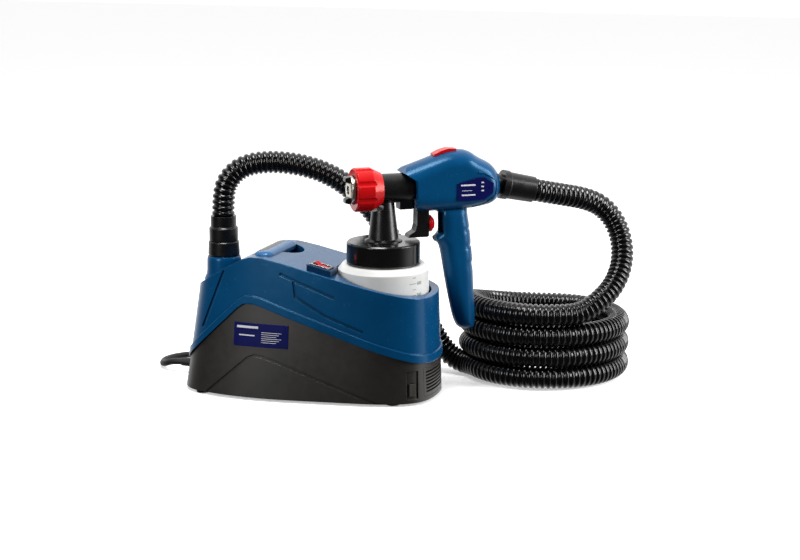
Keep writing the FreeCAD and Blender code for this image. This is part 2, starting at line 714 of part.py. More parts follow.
def switch_parts():
    pod = sloping_block("pod_form", POD_X, POD_Y, dim.pod_height, 0.0)
    neck = sloping_block("pod_neck", grown(POD_X, -dim.wall - 0.4), grown(POD_Y, -dim.wall - 0.4),
                         dim.pod_height - 1, dim.wall + 4)
    rocker_x = grown((dim.pod_x, dim.pod_x), dim.rocker_length / 2)
    rocker_y = grown((dim.pod_y, dim.pod_y), dim.rocker_width / 2)
    well_x, well_y = grown(rocker_x, dim.frame_edge - 1), grown(rocker_y, dim.frame_edge - 1)
    well = sloping_block("pod_well", well_x, well_y, dim.pod_height + 5, 30)
    pod_whole = cut("switch_housing", fuse("pod_whole", pod, neck), well)
    sub_part(pod_whole, "switch_housing")
    outer_x, outer_y = grown(rocker_x, dim.frame_edge), grown(rocker_y, dim.frame_edge)
    hole_x, hole_y = grown(rocker_x, dim.rocker_gap), grown(rocker_y, dim.rocker_gap)
    plate = sloping_block("frame_plate", outer_x, outer_y, dim.pod_height + 1.4, -dim.pod_height)
    plate_hole = sloping_block("frame_plate_hole", hole_x, hole_y, dim.pod_height + 6, 0)
    flange = cut("frame_flange", plate, plate_hole)
    sleeve = sloping_block("sleeve_outer", grown(well_x, -0.1), grown(well_y, -0.1), dim.pod_height,
                           dim.wall + 4)
    sleeve_hole = sloping_block("sleeve_hole", hole_x, hole_y, dim.pod_height + 6, 30)
    sleeve = cut("frame_sleeve", sleeve, sleeve_hole)
    sub_part(fuse("switch_frame", flange, sleeve), "switch_frame")
    half = dim.rocker_length / 2
    rise, depth = dim.rocker_rise, dim.rocker_depth
    corners = [
        (1.1 - half, rise), (0.3 - half, 0), (2 - half, -4), (-3, 0 - depth), (3, 0 - depth), (half - 2, -4),
        (half - 0.3, 0), (half - 0.5, 1.5), (0, 1.7),
    ]
    rocker = padded("rocker_switch", "XZ_Plane", corners, 0 - dim.rocker_width / 2, dim.rocker_width / 2)
    pivot_z = deck_height_at(dim.pod_x) + dim.pod_height - 1.5
    place(rocker, dim.pod_x, dim.pod_y, pivot_z)
    lean = FreeCAD.Rotation(FreeCAD.Vector(0, 1, 0), math.degrees(math.atan(DECK_SLOPE.value)))
    for path in ("Base.x", "Base.y", "Base.z"):
        rocker.setExpression(f"Placement.{path}", None)
    rocker.Placement = FreeCAD.Placement(rocker.Placement.Base, lean)
    print("rocker pivot", rocker.Placement.Base)
    sub_part(rocker, "rocker_switch")


def front_inlet():
    window = box("cover_window", WINDOW_X, GRILLE_Y, GRILLE_Z)
    shell = cut("front_shell", common("front_solid", hull_outside, window), hull_inside)
    slots = [
        box(f"slot_{index}", WINDOW_X, grown(GRILLE_Y, -4), grown(
            (dim.grille_low + 5 + index * dim.slot_pitch, dim.grille_low + 5 + index * dim.slot_pitch),
            dim.slot_height / 2))
        for index in range(int(dim.slot_count.value))
    ]
    sub_part(cut("filter_cover", shell, *slots), "filter_cover")
    front = FRONT_END - 16
    foam = box("air_filter", (front - dim.filter_thickness, front), grown(GRILLE_Y, -1),
               (dim.ground_gap + dim.wall, dim.grille_high))
    sub_part(foam, "air_filter")
    latch = latch_frame("latch_block", rectangle(
        (0 - dim.latch_width / 2, dim.latch_width / 2), LATCH_Z), -7, 4)
    trimmed = common("latch_trim", latch, hull("hull_latch", -dim.latch_proud.value))
    sub_part(trimmed, "filter_latch")


def rating_plate():
    """A thin plate that lies on the tapered wall."""
    plate = box("plate_window", grown((dim.label_x, dim.label_x), dim.label_length / 2),
                (0 - HALF_SPAN, 0), grown((dim.label_z, dim.label_z), dim.label_height / 2))
    skin = common("plate_form", plate, hull("hull_plate", -dim.label_thickness.value))
    return sub_part(cut("rating_plate", skin, hull_outside), "rating_plate")


def housing_screws():
    """Self-tapping screws up through the housing's floor."""
    reach = dim.ground_gap + dim.wall
    half_length, half_width = dim.base_length / 2, dim.base_width / 2
    spots = [(half_length * along, half_width * side * across)
             for along, across in ((-0.79, 0.43), (0.0, 0.74), (0.65, 0.5)) for side in (-1, 1)]
    screws = []
    for index, (x, y) in enumerate(spots):
        screw = turned(f"screw_{index}", [(0, reach), (3.4, reach), (3.4, reach + 2.2), (1.7, reach + 2.6),
                                          (1.7, reach + 14), (0, reach + 15)])
        screws.append(place(screw, x, y))
    return sub_part(fuse("housing_screws", *screws), "housing_screws")


def blower():
    floor, high = dim.fan_floor, dim.fan_floor + dim.fan_height
    skin, radius = dim.fan_wall, dim.fan_radius
    shaft_hole = dim.bearing_radius
    can = turned("fan_can", [
        (dim.inlet_radius, floor), (radius, floor), (radius, high), (shaft_hole, high),
        (shaft_hole, high - skin), (radius - skin, high - skin), (radius - skin, floor + skin),
        (dim.inlet_radius, floor + skin),
    ])
    place(can, dim.fan_x)
    mouth_z = (floor + 8, high - 6)
    mouth = box("fan_mouth", (dim.fan_x - radius - 6, dim.fan_x - radius + 8), (-11, 11), mouth_z)
    sub_part(cut("fan_housing", can, mouth), "fan_housing")
    duct_low = dim.ground_gap + dim.wall
    duct_top = dim.rear_height - 12
    duct = turned("duct_form", [
        (0, duct_low), (dim.duct_radius, duct_low), (dim.duct_radius, duct_top - 6),
        (dim.spout_radius, duct_top), (0, duct_top),
    ])
    duct = place(duct, dim.port_x)
    join = box("duct_join", (dim.port_x, dim.fan_x - radius + 3), (-13, 13),
               (mouth_z[0] - 2, mouth_z[1] + 2))
    join = cut("duct_join_cut", join, rod("fan_envelope", radius, 0, dim.peak_height, dim.fan_x))
    bore = turned("duct_bore", [
        (0, duct_low + 2), (dim.duct_radius - 2, duct_low + 2), (dim.duct_radius - 2, duct_top - 6),
        (dim.spout_radius - 3, duct_top + 1), (0, duct_top + 1),
    ])
    bore = place(bore, dim.port_x)
    passage = box("duct_passage", (dim.port_x, dim.fan_x), (-11, 11), mouth_z)
    sub_part(cut("outlet_duct", fuse("duct_whole", duct, join), bore, passage), "outlet_duct")

    shaft = dim.shaft_radius
    hub_top = high - skin - 2
    vanes = []
    wheel = turned("impeller_wheel", [
        (shaft, floor + 6), (8, floor + 6), (8, hub_top - 3), (radius - skin - 4, hub_top - 2),
        (radius - skin - 4, hub_top), (shaft, hub_top),
    ])
    place(wheel, dim.fan_x)
    for index in range(int(dim.vane_count.value)):
        vane = box(f"vane_{index}", (7, radius - skin - 4.5), (-0.7, 0.7), (floor + 10, hub_top - 1))
        angle = 360.0 * index / int(dim.vane_count.value)
        turn = FreeCAD.Rotation(FreeCAD.Vector(0, 0, 1), angle)
        reach = turn.multVec(FreeCAD.Vector(7, -0.7, 0))
        place(vane, dim.fan_x + reach.x, reach.y, floor + 10, angle)
        vanes.append(vane)
    sub_part(fuse("impeller", wheel, *vanes), "impeller")

    core_low = high + dim.bearing_height + 3
    core_high = core_low + dim.stator_height
    tip = core_high + dim.bearing_height + 12
    core = dim.armature_radius
    armature = turned("armature", [
        (0, floor + 4), (shaft, floor + 4), (shaft, core_low), (core, core_low), (core, core_high),
        (8, core_high), (8, core_high + 8), (shaft, core_high + 8), (shaft, tip), (0, tip),
    ])
    sub_part(place(armature, dim.fan_x), "armature")
    bore_radius = core + dim.air_gap
    stator = turned("stator", [
        (bore_radius, core_low), (dim.stator_radius, core_low), (dim.stator_radius, core_high),
        (bore_radius, core_high),
    ])
    sub_part(place(stator, dim.fan_x), "stator")
    race = shaft + dim.pin_gap
    lower = turned("lower_bearing", [
        (race, high - skin), (dim.bearing_radius, high - skin),
        (dim.bearing_radius, high - skin + dim.bearing_height), (race, high - skin + dim.bearing_height),
    ])
    sub_part(place(lower, dim.fan_x), "lower_bearing")
    top_seat = tip - dim.bearing_height
    upper = turned("upper_bearing", [
        (race, top_seat), (dim.bearing_radius, top_seat), (dim.bearing_radius, tip), (race, tip),
    ])
    sub_part(place(upper, dim.fan_x), "upper_bearing")
    outer = dim.stator_radius + 3
    bracket = turned("motor_bracket", [
        (dim.stator_radius, high), (outer, high), (outer, tip - 2), (outer - 4, tip + 2),
        (dim.bearing_radius, tip + 2), (dim.bearing_radius, top_seat),
        (dim.bearing_radius + 3, top_seat), (dim.bearing_radius + 3, tip - 2),
        (dim.stator_radius, tip - 4),
    ])
    sub_part(place(bracket, dim.fan_x), "motor_bracket")
    brush_z = (core_high + 1.5, core_high + 6.5)
    brushes = [
        box(f"brush_{side}", grown((dim.fan_x, dim.fan_x), 3),
            ((8.2, dim.stator_radius - 0.6) if side > 0 else (0.6 - dim.stator_radius, -8.2)), brush_z)
        for side in (-1, 1)
    ]
    sub_part(fuse("carbon_brushes", *brushes), "carbon_brushes")
    mounts = []
    for index in range(4):
        angle = math.radians(45 + 90 * index)
        mounts.append(rod(f"mount_{index}", 6, dim.ground_gap + dim.wall, floor,
                          dim.fan_x + 32 * math.cos(angle), 32 * math.sin(angle)))
    sub_part(fuse("motor_mounts", *mounts), "motor_mounts")


def cup_and_lid():
    radius, skin = dim.cup_radius, dim.cup_wall
    low, shoulder = dim.cup_bottom, dim.cup_bottom + dim.cup_height
    neck, neck_top = dim.cup_neck_radius, dim.cup_bottom + dim.cup_height + dim.cup_neck_height
    cup = turned("paint_cup", [
        (0, low + 1.5), (radius - 14, low + 1.5), (radius - 12, low), (radius - 5, low), (radius, low + 5),
        (radius, shoulder - 6), (radius - 5, shoulder), (neck, shoulder), (neck, neck_top),
        (neck - skin, neck_top), (neck - skin, shoulder - skin), (radius - 5.5 - skin / 2, shoulder - skin),
        (radius - skin, shoulder - 7), (radius - skin, low + 6), (radius - 6, low + 1.5 + skin),
        (0, low + 1.5 + skin),
    ])
    sub_part(place(cup, dim.cup_x), "paint_cup")
    lid_low = shoulder + dim.lid_lift
    lid_top = lid_low + dim.lid_height
    roof = neck_top + dim.gasket_height
    neck_gap = neck + dim.screw_clearance
    lid = turned("cup_lid", [
        (dim.suction_radius, roof), (neck_gap, roof), (neck_gap, lid_low), (dim.lid_radius, lid_low),
        (dim.lid_radius, lid_top - 1.5), (dim.lid_radius - 1.5, lid_top),
        (dim.neck_foot_radius + 4, lid_top), (dim.neck_foot_radius + 4, lid_top - 2),
        (dim.suction_radius, lid_top - 2),
    ])
    sub_part(place(lid, dim.cup_x), "cup_lid")
    gasket = turned("lid_gasket", [
        (neck - 6, neck_top), (neck_gap, neck_top), (neck_gap, roof), (neck - 6, roof),
    ])
    sub_part(place(gasket, dim.cup_x), "lid_gasket")
    tube_low = low + 1.5 + skin + dim.suction_gap
    tube = turned("suction_tube", [
        (dim.suction_bore, tube_low), (dim.suction_radius, tube_low), (dim.suction_radius, lid_top + 8),
        (dim.suction_bore, lid_top + 8),
    ])
    sub_part(place(tube, dim.cup_x), "suction_tube")
    return lid_top


def spray_head(lid_top):
    axis = dim.barrel_z
    radius = dim.barrel_radius
    foot = lid_top - 2
    neck = turned("neck_form", [
        (0, foot), (dim.neck_foot_radius + 4, foot), (dim.neck_foot_radius + 4, foot + 3),
        (dim.neck_foot_radius, foot + 5), (dim.neck_top_radius, axis - radius + 2), (0, axis - 4),
    ])
    barrel = turned("barrel_form", [
        (dim.barrel_front - 12, 0), (dim.barrel_front - 12, radius - 3.5), (dim.barrel_front, radius - 3.5),
        (dim.barrel_front, radius), (dim.barrel_rear - 6, radius), (dim.barrel_rear - 6, radius - 2),
        (dim.barrel_rear, radius - 2), (dim.barrel_rear, 0),
    ], "H_Axis")
    place(barrel, 0, 0, axis)
    lug = box("head_lug", (17, dim.body_front - 1), (-8, 8), (axis - radius - 7, axis - 8))
    paint_way = rod("paint_way", dim.suction_radius, foot - 1, foot + 10)
    riser = rod("paint_riser", dim.passage_radius, foot, axis)
    paint_bore = dim.nozzle_radius - 1.2
    needle_bore = dim.needle_radius + dim.pin_gap
    needle_way = turned("needle_way", [
        (dim.barrel_front - 20, 0), (dim.barrel_front - 20, paint_bore), (4, paint_bore),
        (4, needle_bore), (dim.barrel_rear - 9, needle_bore), (dim.barrel_rear - 9, 5),
        (dim.barrel_rear + 5, 5), (dim.barrel_rear + 5, 0),
    ], "H_Axis")
    place(needle_way, 0, 0, axis)
    nut_room = turned("nut_room", [
        (dim.nut_front, radius - 3.5), (dim.barrel_front, radius - 3.5), (dim.barrel_front, radius),
        (dim.nut_rear + 0.6, radius), (dim.nut_rear + 0.6, dim.nut_radius + 0.6),
        (dim.nut_front, dim.nut_radius + 0.6),
    ], "H_Axis")
    place(nut_room, 0, 0, axis)
    head = fuse("head_whole", neck, barrel, lug)
    made = cut("spray_head_form", head, paint_way, riser, needle_way, nut_room)
    sub_part(in_gun(made), "spray_head")
    packing = turned("packing_nut", [
        (dim.barrel_rear - 9, needle_bore), (dim.barrel_rear - 9, 5),
        (dim.barrel_rear + 0.5, 5), (dim.barrel_rear + 0.5, needle_bore),
    ], "H_Axis")
    sub_part(in_gun(packing, axis), "packing_nut")


def spray_front():
    axis = dim.barrel_z
    seat = dim.barrel_front - 12
    nozzle = turned("paint_nozzle", [
        (seat, dim.nozzle_radius - 1.4), (seat, dim.nozzle_radius + 3),
        (seat - 3, dim.nozzle_radius + 3), (seat - 3, dim.nozzle_radius),
        (dim.cap_front + 3, dim.nozzle_bore + 1.4), (dim.cap_front + 0.2, dim.nozzle_bore + 1.2),
        (dim.cap_front + 0.2, dim.nozzle_bore), (dim.cap_front + 3, dim.nozzle_bore + 0.2),
        (seat - 4, dim.nozzle_radius - 1.4),
    ], "H_Axis")
    sub_part(in_gun(nozzle, axis), "paint_nozzle")
    cap_rear = seat - 4
    radius = dim.cap_radius
    cap = turned("cap_form", [
        (cap_rear, radius), (cap_rear, radius - 4), (dim.cap_front + 5, 8), (dim.cap_front + 2, 4.2),
        (dim.cap_front, 4.2), (dim.cap_front, radius - 5), (dim.nut_front - 1, radius - 2.5),
        (dim.nut_front + 3, radius - 2.5), (dim.nut_front + 3, radius),
    ], "H_Axis")
    horns = [
        padded(f"horn_{side}", "XZ_Plane", [
            (dim.cap_front + 1, side * 7.0), (dim.cap_front - dim.horn_reach, side * 10.0),
            (dim.cap_front - dim.horn_reach, side * 14.0), (dim.cap_front + 1, side * 15.5),
        ], -5, 5)
        for side in (-1, 1)
    ]
    sub_part(in_gun(fuse("air_cap", cap, *horns), axis), "air_cap")
    inner = dim.barrel_radius - 3.5 + dim.running_gap
    rim = dim.cap_radius - 2.5 + dim.running_gap
    seat_gap = dim.cap_radius + dim.running_gap
    nut = turned("nut_form", [
        (dim.nut_front, rim), (dim.nut_front, dim.nut_radius - 1.5), (dim.nut_front + 1.5, dim.nut_radius),
        (dim.nut_rear - 12, dim.nut_radius), (dim.nut_rear, dim.nut_radius - 6),
        (dim.nut_rear, dim.barrel_radius + dim.running_gap),
        (dim.barrel_front - dim.running_gap, dim.barrel_radius + dim.running_gap),
        (dim.barrel_front - dim.running_gap, inner), (cap_rear + dim.running_gap, inner),
        (cap_rear + dim.running_gap, seat_gap), (dim.nut_front + 3 - dim.running_gap, seat_gap),
        (dim.nut_front + 3 - dim.running_gap, rim),
    ], "H_Axis")
    flutes = []
    for index in range(int(dim.nut_flutes.value)):
        angle = 2 * math.pi * (index + 0.5) / int(dim.nut_flutes.value)
        flute = turned(f"flute_{index}", [(dim.nut_front - 5, 0), (dim.nut_rear + 5, 0),
                                          (dim.nut_rear + 5, 5), (dim.nut_front - 5, 5)], "H_Axis")
        reach = dim.nut_radius + 3.4
        place(flute, 0, reach * math.cos(angle), reach * math.sin(angle))
        flutes.append(flute)
    sub_part(in_gun(cut("ring_nut", nut, *flutes), axis), "ring_nut")


def needle_parts():
    axis = dim.barrel_z
    tip = dim.cap_front + 1.2
    collar = dim.trigger_rear + dim.running_gap
    end = collar + 3 + dim.spring_length + 4
    needle = turned("needle", [
        (tip, 0), (tip + 4, dim.nozzle_bore - 0.15), (tip + 8, dim.nozzle_bore - 0.15),
        (tip + 14, dim.needle_radius), (collar, dim.needle_radius), (collar, dim.spring_radius + 0.8),
        (collar + 3, dim.spring_radius + 0.8), (collar + 3, dim.needle_radius), (end, dim.needle_radius),
        (end, 0),
    ], "H_Axis")
    sub_part(in_gun(needle, axis), "needle")
    low = collar + 3 + dim.needle_stroke + 0.2
    inner = dim.needle_radius + 0.9
    coils = []
    turns = 6
    length = dim.spring_length - dim.needle_stroke - 0.3
    pitch = length / turns
    for index in range(turns):
        start = low + index * pitch
        coils.append(((start, dim.spring_radius), (start + pitch * 0.6, dim.spring_radius),
                      (start + pitch * 0.6, dim.spring_radius - 1), (start + pitch, dim.spring_radius - 1)))
    outside = [corner for four in coils for corner in four]
    outside[-1] = (low + length, dim.spring_radius - 1)
    spring = turned("needle_spring", outside + [(low + length, inner), (low, inner)], "H_Axis")
    sub_part(in_gun(spring, axis), "needle_spring")
    return collar + 3 + dim.spring_length


def gun_section(inset):
    """Cross-section of the gun seen from behind, its walls moved in by inset."""
    body, grip = dim.body_half - inset, dim.grip_half - inset
    return [
        (0 - body, dim.body_bottom + 9), (0 - body, dim.body_top - 20),
        (0 - body + 10, dim.body_top + 3 - inset), (body - 10, dim.body_top + 3 - inset),
        (body, dim.body_top - 20), (body, dim.body_bottom + 9),
        (grip, dim.body_bottom - 10), (grip, dim.grip_bottom + 6), (grip - 6, dim.grip_bottom - 2),
        (6 - grip, dim.grip_bottom - 2), (0 - grip, dim.grip_bottom + 6), (0 - grip, dim.body_bottom - 10),
    ]


def gun_outline():
    front, rear = dim.body_front, dim.body_rear
    top, under = dim.body_top, dim.body_bottom
    heel = dim.grip_rear + dim.grip_rake
    toe = heel - dim.grip_toe
    return [
        (front, dim.barrel_z + 8), (front - 13, dim.barrel_z + 18), (front - 8, dim.barrel_z + 24),
        (front + 10, top - 11), (front + 30, top - 3), (front + 41, top), (front + 59, top),
        (front + 67, top - 3), (rear - 28, top - 10), (rear - 11, top - 18), (rear - 5, top - 26),
        (rear, top - 40), (rear, top - 52), (rear - 4, top - 59), (rear - 12, under + 4),
        (rear - 25, under + 2), (dim.grip_rear, under - 3), (dim.grip_rear, under - 17),
        (dim.grip_rear + 6, under - 60), (heel, dim.grip_bottom + 15), (heel, dim.grip_bottom + 7),
        (heel - 3, dim.grip_bottom), (toe + 6, dim.grip_bottom), (toe, dim.grip_bottom + 6),
        (toe - 5, dim.grip_bottom + 20), (dim.grip_front + 7, dim.grip_bottom + 70),
        (dim.grip_front + 1, dim.trigger_bottom - 7), (dim.trigger_rear, dim.trigger_bottom - 4.5),
        (dim.trigger_rear, dim.trigger_bottom - 3), (dim.grip_front, dim.trigger_bottom + 0.5),
        (dim.grip_front, under - 3), (dim.grip_front - 4, under), (front + 4, under + 2),
        (front, under + 8),
    ]


def gun_hollow():
    skin = dim.gun_wall
    front, rear, top, under = dim.body_front, dim.body_rear, dim.body_top, dim.body_bottom
    heel = dim.grip_rear + dim.grip_rake
    corners = [
        (front + skin, under + skin + 6), (front + skin, top - 20), (front + 38, top - skin - 6),
        (rear - 32, top - skin - 12), (rear - 9, top - 32), (rear - 3, top - 46),
        (rear - 16, under + skin + 6),
        (dim.grip_rear - skin, under - 6), (heel - skin - 3, dim.grip_bottom + 16),
        (heel - dim.grip_toe + skin + 3, dim.grip_bottom + 16), (dim.grip_front + skin + 9, under - 44),
        (dim.grip_front + skin + 7, under - 8), (dim.grip_front + 2, under + skin),
    ]
    outline = padded("hollow_outline", "XZ_Plane", corners, 0 - dim.body_half, dim.body_half)
    section = padded("hollow_section", "YZ_Plane", gun_section(dim.gun_wall), 0, dim.body_rear + 20)
    return common("gun_hollow", outline, section)


def gun_shells(spring_end):
    """Two moulded halves that close on the gun's middle plane."""
    outline = padded("gun_side", "XZ_Plane", gun_outline(), 0 - dim.body_half - 2, dim.body_half + 2)
    section = padded("gun_cross", "YZ_Plane", gun_section(0), 0, dim.body_rear + 20)
    form = common("gun_form", outline, section)
    barrel_bore = turned("barrel_bore", [
        (0, 0), (0, dim.barrel_radius), (dim.barrel_rear, dim.barrel_radius), (dim.barrel_rear, 0),
    ], "H_Axis")
    place(barrel_bore, 0, 0, dim.barrel_z)
    lug_gap = box("lug_gap", (10, dim.body_front + 4), (-9, 9),
                  (dim.barrel_z - dim.barrel_radius - 8, dim.barrel_z))
    half = dim.trigger_half + 1
    slot = box("trigger_slot", (dim.trigger_front - 3, dim.grip_front + 1), (0 - half, half),
               (dim.trigger_bottom + 6, dim.pivot_z + 8))
    pocket_half = dim.knob_radius + 1.5
    knob_gap = box("knob_gap", (dim.trigger_rear, dim.grip_front + dim.knob_pocket),
                   (0 - pocket_half, pocket_half), (dim.knob_z - pocket_half, dim.knob_z + pocket_half + 2))
    gap = dim.running_gap
    button_gap = box("button_gap", grown((dim.button_front, dim.button_rear), gap),
                     grown((0 - dim.button_half, dim.button_half), gap),
                     (dim.body_top - 22, dim.body_top + 10))
    spring_wall = box("spring_wall", (spring_end, spring_end + 3),
                      (0 - dim.body_half + 1, dim.body_half - 1), (dim.barrel_z - 10, dim.barrel_z + 10))
    guide = turned("needle_guide", [
        (spring_end - 1, 0), (spring_end + 4, 0), (spring_end + 4, dim.needle_radius + 0.4),
        (spring_end - 1, dim.needle_radius + 0.4),
    ], "H_Axis")
    place(guide, 0, 0, dim.barrel_z)
    spring_wall = cut("spring_wall_bored", spring_wall, guide)
    shell = cut("gun_shell_form", form, gun_hollow(), barrel_bore, lug_gap, slot, knob_gap, button_gap,
                joint_envelope())
    whole = fuse("gun_shell_whole", shell, spring_wall)
    for name, side in (("gun_shell_left", -1), ("gun_shell_right", 1)):
        limits = (0 - dim.body_half - 5, 0) if side < 0 else (0, dim.body_half + 5)
        keep = box(name + "_side", (-10, dim.body_rear + 20), limits, (0, dim.body_top + 20))
        sub_part(in_gun(common(name, whole, keep)), name)


def tilted(thing):
    """Put a piece turned about X on the hose connector's axis, which dips below the spray axis."""
    yaw, tilt = dim.gun_yaw.value, dim.joint_tilt.value
    start = dim.body_rear.value - 4
    turn = FreeCAD.Rotation(FreeCAD.Vector(0, 0, 1), yaw)
    dip = FreeCAD.Rotation(FreeCAD.Vector(0, 1, 0), tilt)
    middle = FreeCAD.Vector(dim.cup_x.value, 0, 0) + turn.multVec(
        FreeCAD.Vector(start, 0, dim.barrel_z.value))
    thing.Placement = FreeCAD.Placement(middle, turn.multiply(dip))
    return thing


def joint_envelope():
    """Room for the air inlet in the gun's rear wall."""
    made = turned("inlet_room", [(-14, 0), (-14, dim.air_bore), (12, dim.air_bore), (12, 0)], "H_Axis")
    dip = FreeCAD.Rotation(FreeCAD.Vector(0, 1, 0), dim.joint_tilt.value)
    middle = FreeCAD.Vector(dim.body_rear.value - 4, 0, dim.barrel_z.value)
    made.Placement = FreeCAD.Placement(middle, dip)
    return made


def gun_air_joint():
    inlet = turned("air_inlet", [(-10, dim.air_bore - 2), (-10, dim.air_bore), (26, dim.air_bore),
                                 (26, dim.air_bore - 2)], "H_Axis")
    sub_part(tilted(inlet), "air_inlet")
    radius = dim.joint_radius
    cuff = turned("hose_gun_cuff", [
        (7, dim.air_bore), (7, radius), (14, radius), (15, radius - 1.2),
        (dim.joint_length + 4, radius - 1.8), (dim.joint_length + 4, dim.air_bore),
    ], "H_Axis")
    sub_part(tilted(cuff), "hose_gun_cuff")


def trigger_parts():
    half = dim.trigger_half
    top = dim.pivot_z + 6
    front, rear, low = dim.trigger_front, dim.trigger_rear, dim.trigger_bottom
    corners = [
        (front + 1.5, top - 8), (front + 4, top), (rear - 3, top), (rear, top - 4), (rear, low + 1),
        (rear - 2, low), (front - dim.trigger_toe, low), (front - dim.trigger_toe + 1, low + 3),
        (front - 2, low + 7), (front, low + 14),
    ]
    blade = padded("trigger_blade", "XZ_Plane", corners, 0 - half, half)
    pin_hole = padded("pin_hole", "XZ_Plane", [(dim.pivot_x, dim.pivot_z)], 0 - half - 1, half + 1,
                      dim.pivot_radius + dim.pin_gap)
    needle_slot = box("needle_slot", (front - 5, rear + 5), (-2.6, 2.6),
                      (dim.barrel_z - 4.5, dim.barrel_z + 4.5))
    bore = 2.5 + dim.pin_gap
    knob_bore = turned("knob_bore", [(rear - 7, 0), (rear - 7, bore), (rear + 1, bore), (rear + 1, 0)],
                       "H_Axis")
    place(knob_bore, 0, 0, dim.knob_z)
    sub_part(in_gun(cut("trigger", blade, pin_hole, needle_slot, knob_bore)), "trigger")
    inner = dim.body_half - dim.gun_wall
    pin = padded("trigger_pin", "XZ_Plane", [(dim.pivot_x, dim.pivot_z)], 0 - inner, inner, dim.pivot_radius)
    sub_part(in_gun(pin), "trigger_pin")
    knob_radius, depth, gap = dim.knob_radius, dim.knob_depth, dim.running_gap
    knob = turned("flow_knob", [
        (rear - 6.8, 0), (rear - 6.8, 2.5), (rear + gap, 2.5), (rear + gap, knob_radius - 1),
        (rear + gap + 1, knob_radius), (rear + depth - 4, knob_radius),
        (rear + depth - 1, knob_radius - 3.5), (rear + depth, knob_radius - 6.5), (rear + depth, 0),
    ], "H_Axis")
    sub_part(in_gun(knob, dim.knob_z), "flow_knob")


def release_button():
    front, rear, top, rise = dim.button_front, dim.button_rear, dim.body_top, dim.button_rise
    corners = [
        (front, top - 14), (front, top - 6 + rise), (front + 9, top - 2 + rise), (front + 17, top + rise),
        (rear, top - 0.5 + rise), (rear, top - 14),
    ]
    made = padded("release_button", "XZ_Plane", corners, 0 - dim.button_half, dim.button_half)
    sub_part(in_gun(made), "release_button")


def gun_plate():
    """Six-sided plate on the gun's label side."""
    x, z = dim.body_rear, dim.barrel_z
    corners = [
        (x - 57, z + 5), (x - 33, z + 11), (x - 25, z + 11), (x - 14, z + 4), (x - 15, z - 7),
        (x - 25, z - 14), (x - 50, z - 15), (x - 57, z - 14),
    ]
    made = padded("gun_plate", "XZ_Plane", corners, 0 - dim.body_half - dim.label_thickness,
                  0 - dim.body_half)
    sub_part(in_gun(made), "gun_plate")


def gun_screws():
    """Six screws with their heads sunk in the far shell."""
    rear, top, under = dim.body_rear, dim.body_top, dim.body_bottom
    heel = dim.grip_rear + dim.grip_rake
    spots = [
        (dim.body_front + 39, under + 11, dim.body_half), (rear - 22, under + 18, dim.body_half),
        (rear - 30, top - 26, dim.body_half), (dim.grip_rear - 16, under - 38, dim.grip_half),
        (dim.grip_rear - 10, under - 86, dim.grip_half), (heel - 11, dim.grip_bottom + 18, dim.grip_half),
    ]
    screws = [padded(f"gun_screw_{index}", "XZ_Plane", [(x, z)], face, face + 0.8, 2.6)
              for index, (x, z, face) in enumerate(spots)]
    sub_part(in_gun(fuse("gun_screws", *screws)), "gun_screws")


# ---------------------------------------------------------------- hose and mains lead

HOSE_FROM_BASE = [
    (-110, 0, 193), (-110, 0, 213), (-107, 5, 233), (-92, 14, 249), (-66, 27, 254), (-32, 43, 250),
    (0, 60, 237), (30, 77, 211), (55, 91, 172), (76, 101, 128), (93, 107, 84), (108, 111, 46),
    (126, 113, 21), (143, 111, 13), (156, 104, 13),
]
HOSE_TO_GUN = [
    (290, 90, 91), (307, 104, 98), (320, 124, 113), (326, 143, 136), (322, 156, 163), (309, 160, 189),
    (288, 152, 208),
]
LEAD_FROM_BASE = [
    (-172.5, 14, 12), (-184, 14, 12), (-196, 18, 7), (-206, 30, 3.75), (-210, 47, 3.75), (-205, 65, 3.75),
    (-191, 80, 3.75), (-170, 90, 3.75), (-142, 97, 3.75), (-112, 102, 3.75), (-84, 104, 3.75),
    (-60, 103, 3.75),
]
LEAD_TO_PLUG = [(8, 160, 11), (9.5, 176, 12.5), (6, 194, 16), (-3, 208, 18.6), (-12, 219, 18.6)]


def flexible_tube(name, points, radius):
    """A cord as straight runs joined by tangent arcs, each as large as its two runs allow."""
    points = [FreeCAD.Vector(*point) for point in points]
    edges = []
    radii = []
    start = points[0]
    for before, corner, after in zip(points, points[1:], points[2:]):
        first, second = corner - before, after - corner
        half_turn = first.getAngle(second) / 2
        tangent = 0.45 * min(first.Length, second.Length)
        bend = tangent / math.tan(half_turn)
        radii.append(round(bend, 1))
        one = corner - FreeCAD.Vector(first).normalize() * tangent
        two = corner + FreeCAD.Vector(second).normalize() * tangent
        bisector = (one + two) * 0.5 - corner
        middle = corner + bisector.normalize() * bend * (1 / math.cos(half_turn) - 1)
        edges.append(Part.LineSegment(start, one).toShape())
        edges.append(Part.Arc(one, middle, two).toShape())
        start = two
    edges.append(Part.LineSegment(start, points[-1]).toShape())
    path = Part.Wire(edges)
    aim = points[1] - points[0]
    ring = Part.Wire([Part.Circle(points[0], aim, radius).toShape()])
    solid = path.makePipeShell([ring], True, False, 2)
    ratio = solid.Volume / (math.pi * radius * radius * path.Length)
    print(name, "length", round(path.Length, 1), "volume share", round(ratio, 4), "radii", radii)
    feature = doc.addObject("Part::Feature", name)
    feature.Shape = solid
    return sub_part(feature, name)


